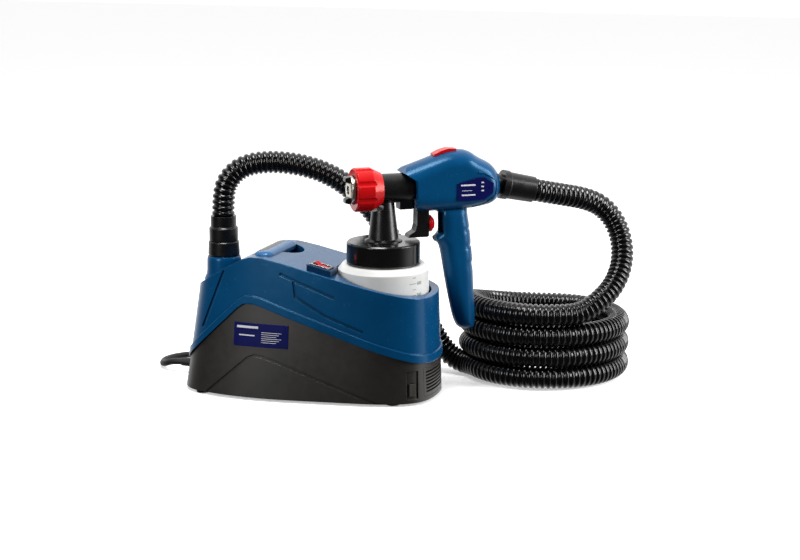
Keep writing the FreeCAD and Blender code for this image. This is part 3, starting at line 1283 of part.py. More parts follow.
def cords():
    flexible_tube("hose_base_run", HOSE_FROM_BASE, dim.hose_radius.value)
    run = dim.joint_length.value + 4
    tilt, yaw = math.radians(dim.joint_tilt.value), math.radians(dim.gun_yaw.value)
    along = dim.body_rear.value - 4 + run * math.cos(tilt)
    start = dim.body_rear.value - 4 + (run + 22) * math.cos(tilt)
    cuff_end = (dim.cup_x.value + along * math.cos(yaw), along * math.sin(yaw),
                dim.barrel_z.value - run * math.sin(tilt))
    ahead = (dim.cup_x.value + start * math.cos(yaw), start * math.sin(yaw),
             dim.barrel_z.value - (run + 22) * math.sin(tilt))
    print("gun cuff end", cuff_end, "ahead", ahead)
    flexible_tube("hose_gun_run", HOSE_TO_GUN + [ahead, cuff_end], dim.hose_radius.value)
    half = dim.hose_radius
    coil = turned("hose_coil", [
        (dim.coil_radius - half, 0), (dim.coil_radius + half, 0),
        (dim.coil_radius + half, 2 * half * dim.coil_turns),
        (dim.coil_radius - half, 2 * half * dim.coil_turns),
    ])
    sub_part(place(coil, dim.coil_x, dim.coil_y), "hose_coil")
    flexible_tube("mains_lead", LEAD_FROM_BASE, dim.lead_radius.value)
    flexible_tube("lead_tail", LEAD_TO_PLUG, dim.lead_radius.value)
    lead = dim.lead_radius
    across = lead * dim.lead_coil_rows
    lead_coil = turned("lead_coil", [
        (dim.lead_coil_radius - across, 0), (dim.lead_coil_radius + across, 0),
        (dim.lead_coil_radius + across, 2 * lead * dim.lead_coil_layers),
        (dim.lead_coil_radius - across, 2 * lead * dim.lead_coil_layers),
    ])
    sub_part(place(lead_coil, dim.lead_coil_x, dim.lead_coil_y), "lead_coil")


def lead_ends():
    """Strain relief in the housing's rear wall, and a two-pin plug lying behind the unit."""
    lead, neck = dim.lead_radius, dim.lead_radius + 2.4
    outside = REAR_END - 0.3
    gland = turned("cord_gland", [
        (outside + 7, 0), (outside + 7, neck + 2), (outside + 5, neck + 2), (outside + 5, neck),
        (outside, neck), (outside, neck + 1.6), (outside - 3, neck + 1.6), (outside - 5, neck - 0.4),
        (outside - dim.gland_length + 1, lead + 0.9), (outside - dim.gland_length + 1, 0),
    ], "H_Axis")
    sub_part(place(gland, 0, dim.gland_y, dim.gland_z), "cord_gland")
    tail, nose = (FreeCAD.Vector(*point) for point in LEAD_TO_PLUG[-2:])
    yaw = math.degrees(math.atan2(nose.y - tail.y, nose.x - tail.x))
    body = turned("mains_plug", [
        (0, 0), (0, lead + 1.2), (14, lead + 3), (19, 13), (30, 16), (38, 18.2), (45, 18.2), (45, 0),
    ], "H_Axis")
    sub_part(place(body, nose.x, nose.y, nose.z, yaw), "mains_plug")
    pins = fuse("plug_pins_form", *[
        padded(f"plug_pin_{side}", "YZ_Plane", [(side * 9.5, 0)], 45, 64, 2.4) for side in (-1, 1)
    ])
    sub_part(place(pins, nose.x, nose.y, nose.z, yaw), "plug_pins")


def write_parts():
    doc.recompute()
    faults = [thing.Name for thing in doc.Objects
              if "Invalid" in thing.State or "Error" in thing.State]
    for thing in SUB_PARTS:
        if thing.Shape.isNull() or not thing.Shape.isValid() or not thing.Shape.Solids:
            faults.append(thing.Label)
    if faults:
        raise RuntimeError("failed: " + ", ".join(faults))
    os.makedirs("parts", exist_ok=True)
    for thing in SUB_PARTS:
        thing.Shape.exportStep(f"parts/{thing.Label}.step")
        print(thing.Label, "solids", len(thing.Shape.Solids), "volume", round(thing.Shape.Volume))


upper_cover()
lower_housing()
foot_ring()
carry_handle()
outlet_spout()
hose_base_fittings()
switch_parts()
front_inlet()
rating_plate()
housing_screws()
blower()
top_of_lid = cup_and_lid()
spray_head(top_of_lid)
spray_front()
gun_shells(needle_parts())
gun_air_joint()
trigger_parts()
release_button()
gun_plate()
gun_screws()
cords()
lead_ends()
write_parts()
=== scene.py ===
import math

import bmesh
import bpy
import numpy as np
from mathutils import Matrix, Vector
from mathutils.bvhtree import BVHTree
from mathutils.geometry import delaunay_2d_cdt


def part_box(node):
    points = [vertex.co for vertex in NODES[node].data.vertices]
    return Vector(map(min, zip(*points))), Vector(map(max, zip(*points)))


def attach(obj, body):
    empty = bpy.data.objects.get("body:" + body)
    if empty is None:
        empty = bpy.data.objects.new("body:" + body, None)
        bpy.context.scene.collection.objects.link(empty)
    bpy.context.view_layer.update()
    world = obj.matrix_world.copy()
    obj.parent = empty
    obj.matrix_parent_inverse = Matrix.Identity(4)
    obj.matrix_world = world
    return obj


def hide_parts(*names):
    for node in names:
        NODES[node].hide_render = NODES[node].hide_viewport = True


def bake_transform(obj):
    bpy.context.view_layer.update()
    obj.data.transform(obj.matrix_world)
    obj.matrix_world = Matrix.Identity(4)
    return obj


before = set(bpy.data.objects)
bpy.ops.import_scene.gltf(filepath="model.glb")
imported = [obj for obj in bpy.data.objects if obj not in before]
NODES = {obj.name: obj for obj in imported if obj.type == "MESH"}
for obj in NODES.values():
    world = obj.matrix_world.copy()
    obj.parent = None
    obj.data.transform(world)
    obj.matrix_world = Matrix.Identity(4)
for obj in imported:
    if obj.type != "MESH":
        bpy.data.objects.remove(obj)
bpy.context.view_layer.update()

MM = 0.001

# Sizes are in millimetres. The gun stands in the cradle turned this far, its barrel over the cup's middle.
GUN_TURN = Matrix.Rotation(math.radians(35), 4, "Z")
CUP_X = 83.3
CUP_RADIUS = 51
SPRAY_Z = 234
BUTTON_HALF = 7.3


def new_object(name, data):
    """An object that shows that data, linked to the scene."""
    thing = bpy.data.objects.new(name, data)
    bpy.context.collection.objects.link(thing)
    return thing


# ---------------------------------------------------------------- camera and lights

def set_camera():
    """A long lens, a little above the object and a little to its right."""
    azimuth, pitch, distance = math.radians(18), math.radians(12), 2.2
    aim = Vector((0.0851, 0.0543, 0.1192))
    back = Vector((math.sin(azimuth) * math.cos(pitch), -math.cos(azimuth) * math.cos(pitch),
                   math.sin(pitch)))
    data = bpy.data.cameras.new("camera")
    data.lens = 86.13
    data.sensor_width = 36
    data.clip_end = 30
    camera = new_object("camera", data)
    camera.location = aim + distance * back
    camera.rotation_euler = back.to_track_quat("Z", "Y").to_euler()
    bpy.context.scene.camera = camera


def add_light(name, place, toward, size, power):
    """A white rectangular lamp that faces a point; sizes in metres, power in watts."""
    data = bpy.data.lights.new(name, "AREA")
    data.shape = "RECTANGLE"
    data.size, data.size_y = size
    data.energy = power
    light = new_object(name, data)
    light.location = place
    light.rotation_euler = (Vector(place) - Vector(toward)).to_track_quat("Z", "Y").to_euler()


# ---------------------------------------------------------------- materials

def colour(code):
    """Linear colour of an sRGB hex value."""
    parts = [int(code[i:i + 2], 16) / 255 for i in (1, 3, 5)]
    linear = [part / 12.92 if part <= 0.04045 else ((part + 0.055) / 1.055) ** 2.4 for part in parts]
    return linear + [1.0]


def add(tree, kind, inputs=None, **settings):
    """One node with its settings, and its inputs set or linked."""
    node = tree.nodes.new(kind)
    for name, value in settings.items():
        setattr(node, name, value)
    for name, value in (inputs or {}).items():
        socket = node.inputs[name]
        if isinstance(value, bpy.types.NodeSocket):
            tree.links.new(value, socket)
        else:
            socket.default_value = value
    return node


def new_material(name):
    """An empty material, its tree, its shader and the piece's own coordinates in metres."""
    made = bpy.data.materials.new(name)
    made.use_nodes = True
    tree = made.node_tree
    tree.nodes.clear()
    shader = add(tree, "ShaderNodeBsdfPrincipled")
    add(tree, "ShaderNodeOutputMaterial", {"Surface": shader.outputs["BSDF"]})
    place = add(tree, "ShaderNodeTexCoord").outputs["Object"]
    return made, tree, shader, place


def per_metre(size_mm):
    """Noise scale that gives features of about this size on coordinates in metres."""
    return 1000 / size_mm


def edge_sheen_and_wear_mask(tree, radius_mm):
    """Near 1 along an outer edge, 0 on open faces, and the softened normal that tells them apart: the mask of
    the painted edge sheen and wear.
    """
    soft = add(tree, "ShaderNodeBevel", {"Radius": radius_mm * MM}, samples=6)
    true = add(tree, "ShaderNodeNewGeometry")
    along = add(tree, "ShaderNodeVectorMath", {0: soft.outputs["Normal"], 1: true.outputs["Normal"]},
                operation="DOT_PRODUCT")
    mask = add(tree, "ShaderNodeMapRange", {"Value": along.outputs["Value"], "From Min": 0.995,
                                            "From Max": 0.82, "To Min": 0.0, "To Max": 1.0})
    return mask.outputs["Result"], soft.outputs["Normal"]


def painted_crevice_shade(tree, unshaded_colour, reach_mm):
    """The colour with painted shade: darkened where joints, grooves and slots shut the light out."""
    shut = add(tree, "ShaderNodeAmbientOcclusion", {"Distance": reach_mm * MM}, samples=6)
    level = add(tree, "ShaderNodeMapRange", {"Value": shut.outputs["AO"], "From Min": 0.4, "From Max": 0.85,
                                             "To Min": 0.12, "To Max": 1.0})
    dark = add(tree, "ShaderNodeMix", {0: level.outputs["Result"], 6: colour("#040404"), 7: unshaded_colour},
               data_type="RGBA")
    return dark.outputs[2]


def moulded(name, body, tint, edge, gloss, grain_mm, grain_depth_mm, edge_mm=0.7, dirt_mm=3.5):
    """Injection-moulded plastic: body colour drifting to a tint over the part, paler edges of painted sheen
    and rubbed wear, painted shade in grooves and joints, and the fine spark-eroded grain of the mould as bump
    and as broken-up gloss. Gives the material and its shader."""
    made, tree, shader, place = new_material(name)
    drift = add(tree, "ShaderNodeTexNoise", {"Vector": place, "Scale": per_metre(45), "Detail": 3.0})
    flow = add(tree, "ShaderNodeValToRGB", {"Fac": drift.outputs["Fac"]})
    for stop, (at, code) in zip(flow.color_ramp.elements, ((0.35, body), (0.7, tint))):
        stop.position, stop.color = at, colour(code)
    grain = add(tree, "ShaderNodeTexNoise", {"Vector": place, "Scale": per_metre(grain_mm), "Detail": 2.0})
    rub = add(tree, "ShaderNodeTexNoise", {"Vector": place, "Scale": per_metre(9), "Detail": 5.0,
                                           "Roughness": 0.7})
    sheen_and_wear_at_edges, soft = edge_sheen_and_wear_mask(tree, edge_mm)
    # Painted sheen, with rubbed wear: the edges, in patches, mixed towards the paler edge colour.
    patchy_sheen_and_wear = add(tree, "ShaderNodeMath", {0: sheen_and_wear_at_edges, 1: rub.outputs["Fac"]}, operation="MULTIPLY")
    coat = add(tree, "ShaderNodeMix", {0: patchy_sheen_and_wear.outputs["Value"], 6: flow.outputs["Color"],
                                       7: colour(edge)}, data_type="RGBA")
    rough = add(tree, "ShaderNodeMapRange", {"Value": rub.outputs["Fac"], "From Min": 0.3, "From Max": 0.75,
                                             "To Min": gloss[0], "To Max": gloss[1]})
    bump = add(tree, "ShaderNodeBump", {"Height": grain.outputs["Fac"], "Normal": soft, "Strength": 0.6,
                                        "Distance": grain_depth_mm * MM})
    # Painted shade: ambient occlusion darkens the colour in grooves, joints and slots, and between parts.
    tree.links.new(painted_crevice_shade(tree, coat.outputs[2], dirt_mm), shader.inputs["Base Color"])
    tree.links.new(rough.outputs["Result"], shader.inputs["Roughness"])
    tree.links.new(bump.outputs["Normal"], shader.inputs["Normal"])
    return made, shader


def plastic(*facts, shine=0.5, sheen="#FFFFFF", **more):
    """A moulding with its own strength and tint of highlight."""
    made, shader = moulded(*facts, **more)
    shader.inputs["Specular IOR Level"].default_value = shine
    shader.inputs["Specular Tint"].default_value = colour(sheen)
    return made


def metal(*facts):
    """A bare or plated metal, with the same paler edges of painted sheen and rubbed wear, and broken-up
    gloss.
    """
    made, shader = moulded(*facts)
    shader.inputs["Metallic"].default_value = 1.0
    return made


def milky_cup():
    """Blow-moulded natural polyethylene: light goes some way in, so it glows white with soft shading."""
    made, shader = moulded("blown_polyethylene_natural", "#DEDEDB", "#E8E8E5", "#F4F4F2",
                           (0.28, 0.4), 0.9, 0.02)
    shader.inputs["Subsurface Weight"].default_value = 0.35
    shader.inputs["Subsurface Radius"].default_value = (0.012, 0.012, 0.012)
    shader.inputs["Subsurface Scale"].default_value = 1.0
    return made


def make_materials():
    """Every finish by its short name. Each gives a full name, the body and tint colours, the paler edge
    colour of painted sheen and wear, the range of roughness, and the grain's size and depth in millimetres."""
    return {
        # Moulded ABS in deep blue: satin, so upper faces pick up the sky and sides stay deep.
        "abs_blue": plastic("moulded_ABS_blue", "#04406A", "#054672", "#1C608F", (0.2, 0.3), 0.6, 0.004,
                            edge_mm=1.4, shine=0.45, sheen="#86C4EA"),
        # Darker batch of the same ABS, so the switch pod stands apart from the cover round it.
        "abs_dark": plastic("moulded_ABS_navy", "#062A4C", "#073056", "#24588C", (0.25, 0.36), 0.6, 0.004,
                            shine=0.4, sheen="#7FB8F0"),
        # Polypropylene with a coarse spark grain: dull, warm charcoal.
        "pp_grey": plastic("grained_polypropylene_charcoal", "#211F1D", "#272421", "#4A4641",
                           (0.34, 0.46), 0.8, 0.012),
        # The carry bar's own moulding: the same ABS painted paler, a painted highlight for the light the
        # rounded bar catches.
        "abs_blue_painted_lit": plastic("rubbed_ABS_blue", "#2A5C88", "#34689A", "#6E9CC4", (0.2, 0.3), 0.6, 0.004,
                              edge_mm=1.4, sheen="#A8CCF4"),
        # The charcoal polypropylene again, in a paler grey on the latch.
        "pp_latch": plastic("rubbed_polypropylene_grey", "#3A3835", "#45423E", "#6A665F",
                            (0.26, 0.36), 0.8, 0.01),
        # Glass-filled nylon: nearly black, satin, with slightly broken gloss.
        "nylon_black": plastic("glass_filled_nylon_black", "#08080A", "#0D0D0E", "#242426",
                               (0.24, 0.34), 0.7, 0.006),
        # Moulded lid in glossy black polypropylene: long clear highlights round its rim.
        "gloss_black": plastic("gloss_polypropylene_black", "#080808", "#0E0E0E", "#303030",
                               (0.14, 0.22), 0.7, 0.004, edge_mm=1.0),
        # Acetal ring nut, knob and button: bright red with a clear gloss.
        "acetal_red": plastic("acetal_red", "#B80A10", "#C41016", "#DE2A26", (0.2, 0.3), 0.6, 0.008,
                              sheen="#FFB0A8"),
        # Natural polyethylene: the one piece that light enters, so it glows beside the hard mouldings.
        "polyethylene_milk": milky_cup(),
        # Corrugated polyethylene: black with a tight gloss that puts one bright fleck on every rib.
        "hose_black": plastic("corrugated_polyethylene_black", "#040404", "#080809", "#141416",
                              (0.14, 0.22), 0.7, 0.004, dirt_mm=2.0),
        # Round mains sheath in rubber: dull black, its highlight spread wide.
        "lead_rubber": plastic("mains_sheath_rubber", "#0C0C0D", "#131314", "#2A2A2C",
                               (0.5, 0.65), 0.5, 0.01),
        # Grey ink of the cup's scale: flat and pale, so the figures stay faint on the white.
        "cup_ink": plastic("pad_printed_grey_ink", "#8A8C8E", "#96989A", "#A4A6A8", (0.45, 0.6), 0.5, 0.002),
        # Printed polyester plates, nearly violet beside the blue shells.
        "navy_plate": plastic("printed_polyester_plate", "#0A0E46", "#0E1350", "#2A3280",
                              (0.26, 0.36), 0.4, 0.006, shine=0.3, sheen="#9AA4F0"),
        # Screen ink: a cool white, flatter than the plate under it.
        "pale_ink": plastic("screen_printed_white_ink", "#D8DAE2", "#E2E4EA", "#F2F2F6",
                            (0.4, 0.5), 0.5, 0.002),
        # Metallised bezel: mid grey with painted sheen brighter on its edges, which frames the red rocker
        # without a glare.
        "chrome_trim": metal("metallised_ABS_bezel", "#77797C", "#6A6C70", "#C8CACC",
                             (0.2, 0.34), 0.5, 0.006),
        # Nickel-plated cap face: bright and slightly warm, its reflections softly broken.
        "nickel": metal("nickel_plated_brass", "#CFC8BC", "#C2BAAC", "#EFE9DE", (0.2, 0.34), 0.5, 0.008),
        # Zinc-plated steel: grey, with a soft sparkle.
        "steel": metal("zinc_plated_steel", "#A9ABAE", "#B8BABC", "#E6E6E8", (0.25, 0.4), 0.4, 0.008),
        # Turned brass: dull yellow, with painted sheen brighter along its edges.
        "brass": metal("turned_brass", "#B08D48", "#C09C54", "#E6CB8A", (0.25, 0.38), 0.4, 0.008),
    }


# The finish of each CAD node that is shown as it is.
LOOKS = {
    "abs_blue": ["upper_cover"],
    "abs_dark": ["switch_housing"],
    "pp_grey": ["lower_housing", "filter_cover"],
    "pp_latch": ["filter_latch"],
    "nylon_black": ["hose_collar", "hose_base_cuff", "hose_gun_cuff", "air_inlet", "spray_head", "trigger",
                    "fan_housing", "outlet_duct", "motor_bracket", "impeller", "air_cap", "air_filter",
                    "foot_ring", "motor_mounts", "lid_gasket"],
    "gloss_black": ["cup_lid"],
    "acetal_red": ["ring_nut", "flow_knob", "release_button", "rocker_switch"],
    "navy_plate": ["rating_plate", "gun_plate"],
    "chrome_trim": ["switch_frame"],
    "polyethylene_milk": ["paint_cup", "suction_tube"],
    "lead_rubber": ["cord_gland", "mains_plug"],
    "steel": ["housing_screws", "gun_screws", "needle", "needle_spring", "lower_bearing", "upper_bearing",
              "armature", "stator", "paint_nozzle"],
    "brass": ["packing_nut", "plug_pins", "carbon_brushes"],
}


def dress(thing, material):
    """Gives the piece that one finish."""
    thing.data.materials.clear()
    thing.data.materials.append(material)


# ---------------------------------------------------------------- cords

HOSE_DIAMETER = 26
HOSE_COIL = (231, 155)
HOSE_COIL_RADIUS = 88
HOSE_TURNS = 4
HOSE_TURN_RISE = 24.2
# Degrees round the coil: where the first turn begins, where the last ends, and where each starts to climb.
HOSE_TURNS_FROM, HOSE_TURNS_TO = 214.2, 312.2
HOSE_CLIMB_FROM, HOSE_CLIMB_ARC = 470, 108
RIB_PITCH, RIB_DEPTH = 6.2, 2.0
RINGS_PER_RIB = 8
HOSE_SIDES = 22
LEAD_DIAMETER = 7.5
LEAD_COIL = (-40, 150)
LEAD_ROWS = (48.5, 41, 33.5)
LEAD_TURNS_FROM, LEAD_TURNS_TO = 247, 371.8
# The share of each turn that keeps to its row, before it moves over to the next.
LEAD_ROW_SHARE = 0.78
# A smooth line passes a little inside its points, so a coil's points stand this much further out.
HOSE_SPREAD, LEAD_SPREAD = 1.008, 1.01

# Out of the outlet, over the handle's end, down behind the floor unit and on to the floor.
HOSE_FROM_BASE = [
    (-110, 0, 193), (-110, 0, 213), (-107, 5, 233), (-92, 14, 249), (-66, 27, 254), (-32, 43, 250),
    (0, 60, 237), (30, 77, 211), (55, 91, 172), (76, 101, 128), (93, 107, 84), (108, 111, 46),
    (126, 113, 21), (143, 111, 13),
]
# Off the top of the coil, up in a loop and into the back of the gun.
HOSE_TO_GUN = [
    (307, 104, 98), (320, 124, 113), (326, 143, 136), (322, 156, 163), (309, 160, 189), (288, 152, 208),
    (245.91, 113.86, 219.86), (228.29, 101.52, 224.44),
]
# Out of the strain relief, down to the floor and round behind the unit.
LEAD_FROM_BASE = [
    (-172.5, 14, 12), (-184, 14, 12), (-196, 18, 7), (-206, 30, 3.75), (-210, 47, 3.75), (-205, 65, 3.75),
    (-191, 80, 3.75), (-170, 90, 3.75), (-142, 97, 3.75), (-112, 102, 3.75), (-84, 104, 3.75),
]
# Off the coil and level into the plug.
LEAD_TO_PLUG = [(8, 172, 12), (6, 194, 16), (-3, 208, 18.6), (-12, 219, 18.6)]


def smooth(share):
    """Eases from 0 to 1."""
    share = min(max(share, 0), 1)
    return share * share * (3 - 2 * share)


def on_coil(middle, reach, degrees, level):
    """The point that far from a coil's middle, at that angle round it and that height."""
    angle = math.radians(degrees)
    return middle[0] + reach * math.cos(angle), middle[1] + reach * math.sin(angle), level


def hose_turns():
    """Stacked turns with their ribs meshed: each lies level over most of its way and climbs at its left."""
    first, last, step = HOSE_TURNS_FROM, HOSE_TURNS_TO + 360 * (HOSE_TURNS - 1), 20
    count = round((last - first) / step)
    reach = HOSE_COIL_RADIUS * HOSE_SPREAD
    points = []
    for i in range(count + 1):
        angle = first + (last - first) * i / count
        climbed = sum(smooth((angle - HOSE_CLIMB_FROM - 360 * turn) / HOSE_CLIMB_ARC)
                      for turn in range(HOSE_TURNS - 1))
        level = HOSE_DIAMETER / 2 + HOSE_TURN_RISE * climbed
        points.append(on_coil(HOSE_COIL, reach, angle, level))
    return points


def lead_turns():
    """Three rows inwards on the floor and three outwards on top of them, a diameter apart."""
    rows = LEAD_ROWS + LEAD_ROWS[::-1]
    first, last, step = LEAD_TURNS_FROM, LEAD_TURNS_TO + 360 * len(rows), 24
    count = round((last - first) / step)
    points = []
    for i in range(count + 1):
        angle = first + (last - first) * i / count
        turn = min(int((angle - first) // 360), len(rows) - 1)
        share = smooth(((angle - first) / 360 - turn - LEAD_ROW_SHARE) / (1 - LEAD_ROW_SHARE))
        following = min(turn + 1, len(rows) - 1)
        reach = (rows[turn] + (rows[following] - rows[turn]) * share) * LEAD_SPREAD
        layer = 0 if turn < 2 else 1 if turn > 2 else share
        points.append(on_coil(LEAD_COIL, reach, angle, LEAD_DIAMETER * (0.5 + layer)))
    return points


def route_curve(name, points_mm):
    """One open smooth spline with those points as its control points, in metres."""
    data = bpy.data.curves.new(name, "CURVE")
    data.dimensions = "3D"
    data.resolution_u = 8
    spline = data.splines.new("NURBS")
    spline.points.add(len(points_mm) - 1)
    for point, place in zip(spline.points, points_mm):
        point.co = (place[0] * MM, place[1] * MM, place[2] * MM, 1)
    spline.order_u = 3
    spline.use_endpoint_u = True
    return new_object(name, data)


def corrugation_tree():
    """Turns a line into a hose: rings of a rounded rib profile, one after another along it."""
    tree = bpy.data.node_groups.new("corrugated_hose", "GeometryNodeTree")
    tree.interface.new_socket("Geometry", in_out="INPUT", socket_type="NodeSocketGeometry")
    sizes = {}
    for name, value in (("Rib pitch", RIB_PITCH * MM), ("Rib depth", RIB_DEPTH * MM),
                        ("Outside radius", HOSE_DIAMETER / 2 * MM)):
        sizes[name] = tree.interface.new_socket(name, in_out="INPUT", socket_type="NodeSocketFloat")
        sizes[name].default_value = value
    sizes["Material"] = tree.interface.new_socket("Material", in_out="INPUT",
                                                  socket_type="NodeSocketMaterial")
    tree.interface.new_socket("Geometry", in_out="OUTPUT", socket_type="NodeSocketGeometry")
    given = add(tree, "NodeGroupInput").outputs
    step = add(tree, "ShaderNodeMath", {0: given["Rib pitch"], 1: RINGS_PER_RIB}, operation="DIVIDE")
    line = add(tree, "GeometryNodeMeshToCurve", {"Mesh": given["Geometry"]})
    even = add(tree, "GeometryNodeResampleCurve", {"Curve": line.outputs["Curve"],
                                                   "Length": step.outputs["Value"]}, mode="LENGTH")
    turn = add(tree, "ShaderNodeMath", {0: add(tree, "GeometryNodeInputIndex").outputs["Index"],
                                        1: math.tau / RINGS_PER_RIB}, operation="MULTIPLY")
    wave = add(tree, "ShaderNodeMath", {0: turn.outputs["Value"]}, operation="COSINE")
    groove = add(tree, "ShaderNodeMapRange", {"Value": wave.outputs["Value"], "From Min": -0.2,
                                              "From Max": 0.9, "To Min": 0.0,
                                              "To Max": given["Rib depth"]})
    radius = add(tree, "ShaderNodeMath", {0: given["Outside radius"], 1: groove.outputs["Result"]},
                 operation="SUBTRACT")
    ring = add(tree, "GeometryNodeCurvePrimitiveCircle", {"Resolution": HOSE_SIDES, "Radius": 1.0})
    skin = add(tree, "GeometryNodeCurveToMesh", {"Curve": even.outputs["Curve"],
                                                 "Profile Curve": ring.outputs["Curve"],
                                                 "Scale": radius.outputs["Value"], "Fill Caps": True})
    soft = add(tree, "GeometryNodeSetShadeSmooth", {"Geometry": skin.outputs["Mesh"]})
    real = add(tree, "GeometryNodeRealizeInstances", {"Geometry": soft.outputs["Geometry"]})
    dressed = add(tree, "GeometryNodeSetMaterial", {"Geometry": real.outputs["Geometry"],
                                                    "Material": given["Material"]})
    add(tree, "NodeGroupOutput", {"Geometry": dressed.outputs["Geometry"]})
    return tree, {name: socket.identifier for name, socket in sizes.items()}


def plain_mesh(thing):
    """The object's finished shape as a plain mesh in its own place."""
    bpy.context.view_layer.update()
    evaluated = thing.evaluated_get(bpy.context.evaluated_depsgraph_get())
    return bpy.data.meshes.new_from_object(evaluated)


def air_hose(material):
    """The corrugated hose from the floor unit's outlet, round its coil and up into the gun."""
    route = route_curve("hose_route", HOSE_FROM_BASE + hose_turns() + HOSE_TO_GUN)
    line = plain_mesh(route)
    draft = new_object("hose_draft", line)
    tree, sockets = corrugation_tree()
    ribs = draft.modifiers.new("ribs", "NODES")
    ribs.node_group = tree
    ribs[sockets["Material"]] = material
    hose = new_object("air_hose", plain_mesh(draft))
    for spare in (draft, route):
        bpy.data.objects.remove(spare)
    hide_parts("hose_base_run", "hose_coil", "hose_gun_run")
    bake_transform(hose)


def mains_lead(material):
    """The smooth round mains lead, coiled on the floor behind the unit."""
    lead = route_curve("lead", LEAD_FROM_BASE + lead_turns() + LEAD_TO_PLUG)
    lead.data.bevel_depth = LEAD_DIAMETER / 2 * MM
    lead.data.bevel_resolution = 3
    lead.data.use_fill_caps = True
    lead.data.materials.append(material)
    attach(lead, "floor_unit")
    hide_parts("mains_lead", "lead_coil", "lead_tail")


# ---------------------------------------------------------------- gun

# Half the thickness of the body and of the grip, and how far in from their outlines they are rounded.
BODY_HALF, BODY_ROUND = 23, 17
GRIP_HALF, GRIP_ROUND = 15, 14
# Half the joint line that shows between the two shells.
SHELL_JOINT = 0.12
# Side view of the gun's body: x runs back along the barrel from over the cup's middle, z up from the floor.
GUN_BODY = [
    (8, 245), (8, 251), (14, 254.5), (43, 264), (63, 271), (76, 274.5), (92, 274.5), (101, 271.5),
    (109, 265.5), (124, 258), (131, 250), (135.5, 240), (136, 229), (132.5, 217.5), (124, 211.5),
    (111, 209), (96, 207), (59, 206), (30, 207), (14, 212), (8, 220),
]
# The grip, with the guard under the trigger, and its three finger notches at the back.
GUN_GRIP = [
    (62, 214), (63, 190), (62.6, 178.5), (51, 175), (51, 173.2), (63.5, 171), (67, 161), (70, 143),
    (74, 120), (79, 96), (83, 80), (87, 71.5), (94, 67.5), (102, 66.8), (107, 70.5), (108, 79),
    (107.5, 90), (106, 112), (105.2, 135), (103.4, 146), (104.6, 148), (103, 164), (101.4, 165.5),
    (102.6, 167.5), (101, 183), (99.6, 185), (100.6, 187), (98, 201), (97, 214),
]
# What is cut off in front: the body ends square there, under a visor that reaches out over the barrel.
GUN_FRONT = [(-20, 190), (33, 190), (34.5, 206), (33, 243), (20.5, 251.5), (26, 259.5), (20, 262), (-20, 262)]


def rounded_outline(corners, passes=2):
    """The corners cut twice over, which leaves a smooth line."""
    points = [Vector(corner) for corner in corners]
    for _ in range(passes):
        following = points[1:] + points[:1]
        points = [mix for a, b in zip(points, following) for mix in (a.lerp(b, 0.22), a.lerp(b, 0.78))]
    return points


def depth_inside(points, loop):
    """Distance of each point to the loop's nearest run."""
    starts = np.array(loop)
    runs = np.roll(starts, -1, axis=0) - starts
    offsets = np.array(points)[:, None, :] - starts[None]
    share = np.clip((offsets * runs).sum(2) / (runs * runs).sum(1), 0, 1)
    return np.sqrt(((offsets - share[..., None] * runs) ** 2).sum(2)).min(1)


def crown(depth, half, roundness):
    """Half thickness at that depth inside the outline: a quarter ellipse, then flat."""
    share = np.clip(np.asarray(depth) / roundness, 0, 1)
    return half * np.sqrt(1 - (1 - share) ** 2)


def shell_half(loop, half, roundness, side):
    """One closed half of a rounded two-part moulding, on its side of the middle plane y = 0: rings of points
    that follow the outline inwards, a net of points over the flat, and a flat back on the joint."""
    count = len(loop)
    ahead = np.array(loop[1:] + loop[:1]) - np.array(loop[-1:] + loop[:-1])
    inward = np.stack([-ahead[:, 1], ahead[:, 0]], 1) / np.linalg.norm(ahead, axis=1)[:, None]
    area = sum(a.cross(b) for a, b in zip(loop, loop[1:] + loop[:1]))
    inward = inward if area > 0 else -inward
    points = [tuple(point) for point in loop]
    for angle in range(8, 91, 9):
        level = roundness * (1 - math.cos(math.radians(angle)))
        moved = np.array(loop) + inward * level
        kept = np.abs(depth_inside(moved, loop) - level) < 0.04 * level + 0.02
        points += [tuple(point) for point, keep in zip(moved, kept) if keep]
    low, high = np.array(loop).min(0), np.array(loop).max(0)
    net_step = 3.5
    net = [(x, z) for x in np.arange(low[0], high[0], net_step) for z in np.arange(low[1], high[1], net_step)]
    deep = depth_inside(net, loop) > roundness + 1
    points += [point for point, keep in zip(net, deep) if keep]
    border = [(i, (i + 1) % count) for i in range(count)]
    flat = [Vector(point) for point in points]
    front = delaunay_2d_cdt(flat, border, [], 1, 1e-4)
    back = delaunay_2d_cdt(flat[:count], border, [], 1, 1e-4)
    rise = crown(depth_inside([tuple(v) for v in front[0]], loop), half - SHELL_JOINT, roundness)
    corners = [(v.x, side * (SHELL_JOINT + r), v.y) for v, r in zip(front[0], rise)]
    corners += [(v.x, side * SHELL_JOINT, v.y) for v in back[0]]
    faces = [list(face) for face in front[2]]
    faces += [[index + len(front[0]) for index in face] for face in back[2]]
    return corners, faces


# The six faces of a box whose corners run through its two x, then its two y, then its two z.
BLOCK_FACES = [(0, 1, 3, 2), (4, 6, 7, 5), (0, 4, 5, 1), (2, 3, 7, 6), (0, 2, 6, 4), (1, 5, 7, 3)]


def block(x, y, z):
    """A box between two values on each axis."""
    return [(a, b, c) for a in x for b in y for c in z], BLOCK_FACES


def slab(corners, low, high):
    """A flat shape in the gun's side view, given thickness across it."""
    count = len(corners)
    points = [(x, y, z) for y in (low, high) for x, z in corners]
    faces = [(i, (i + 1) % count, count + (i + 1) % count, count + i) for i in range(count)]
    return points, faces + [tuple(range(count)), tuple(range(count, 2 * count))]


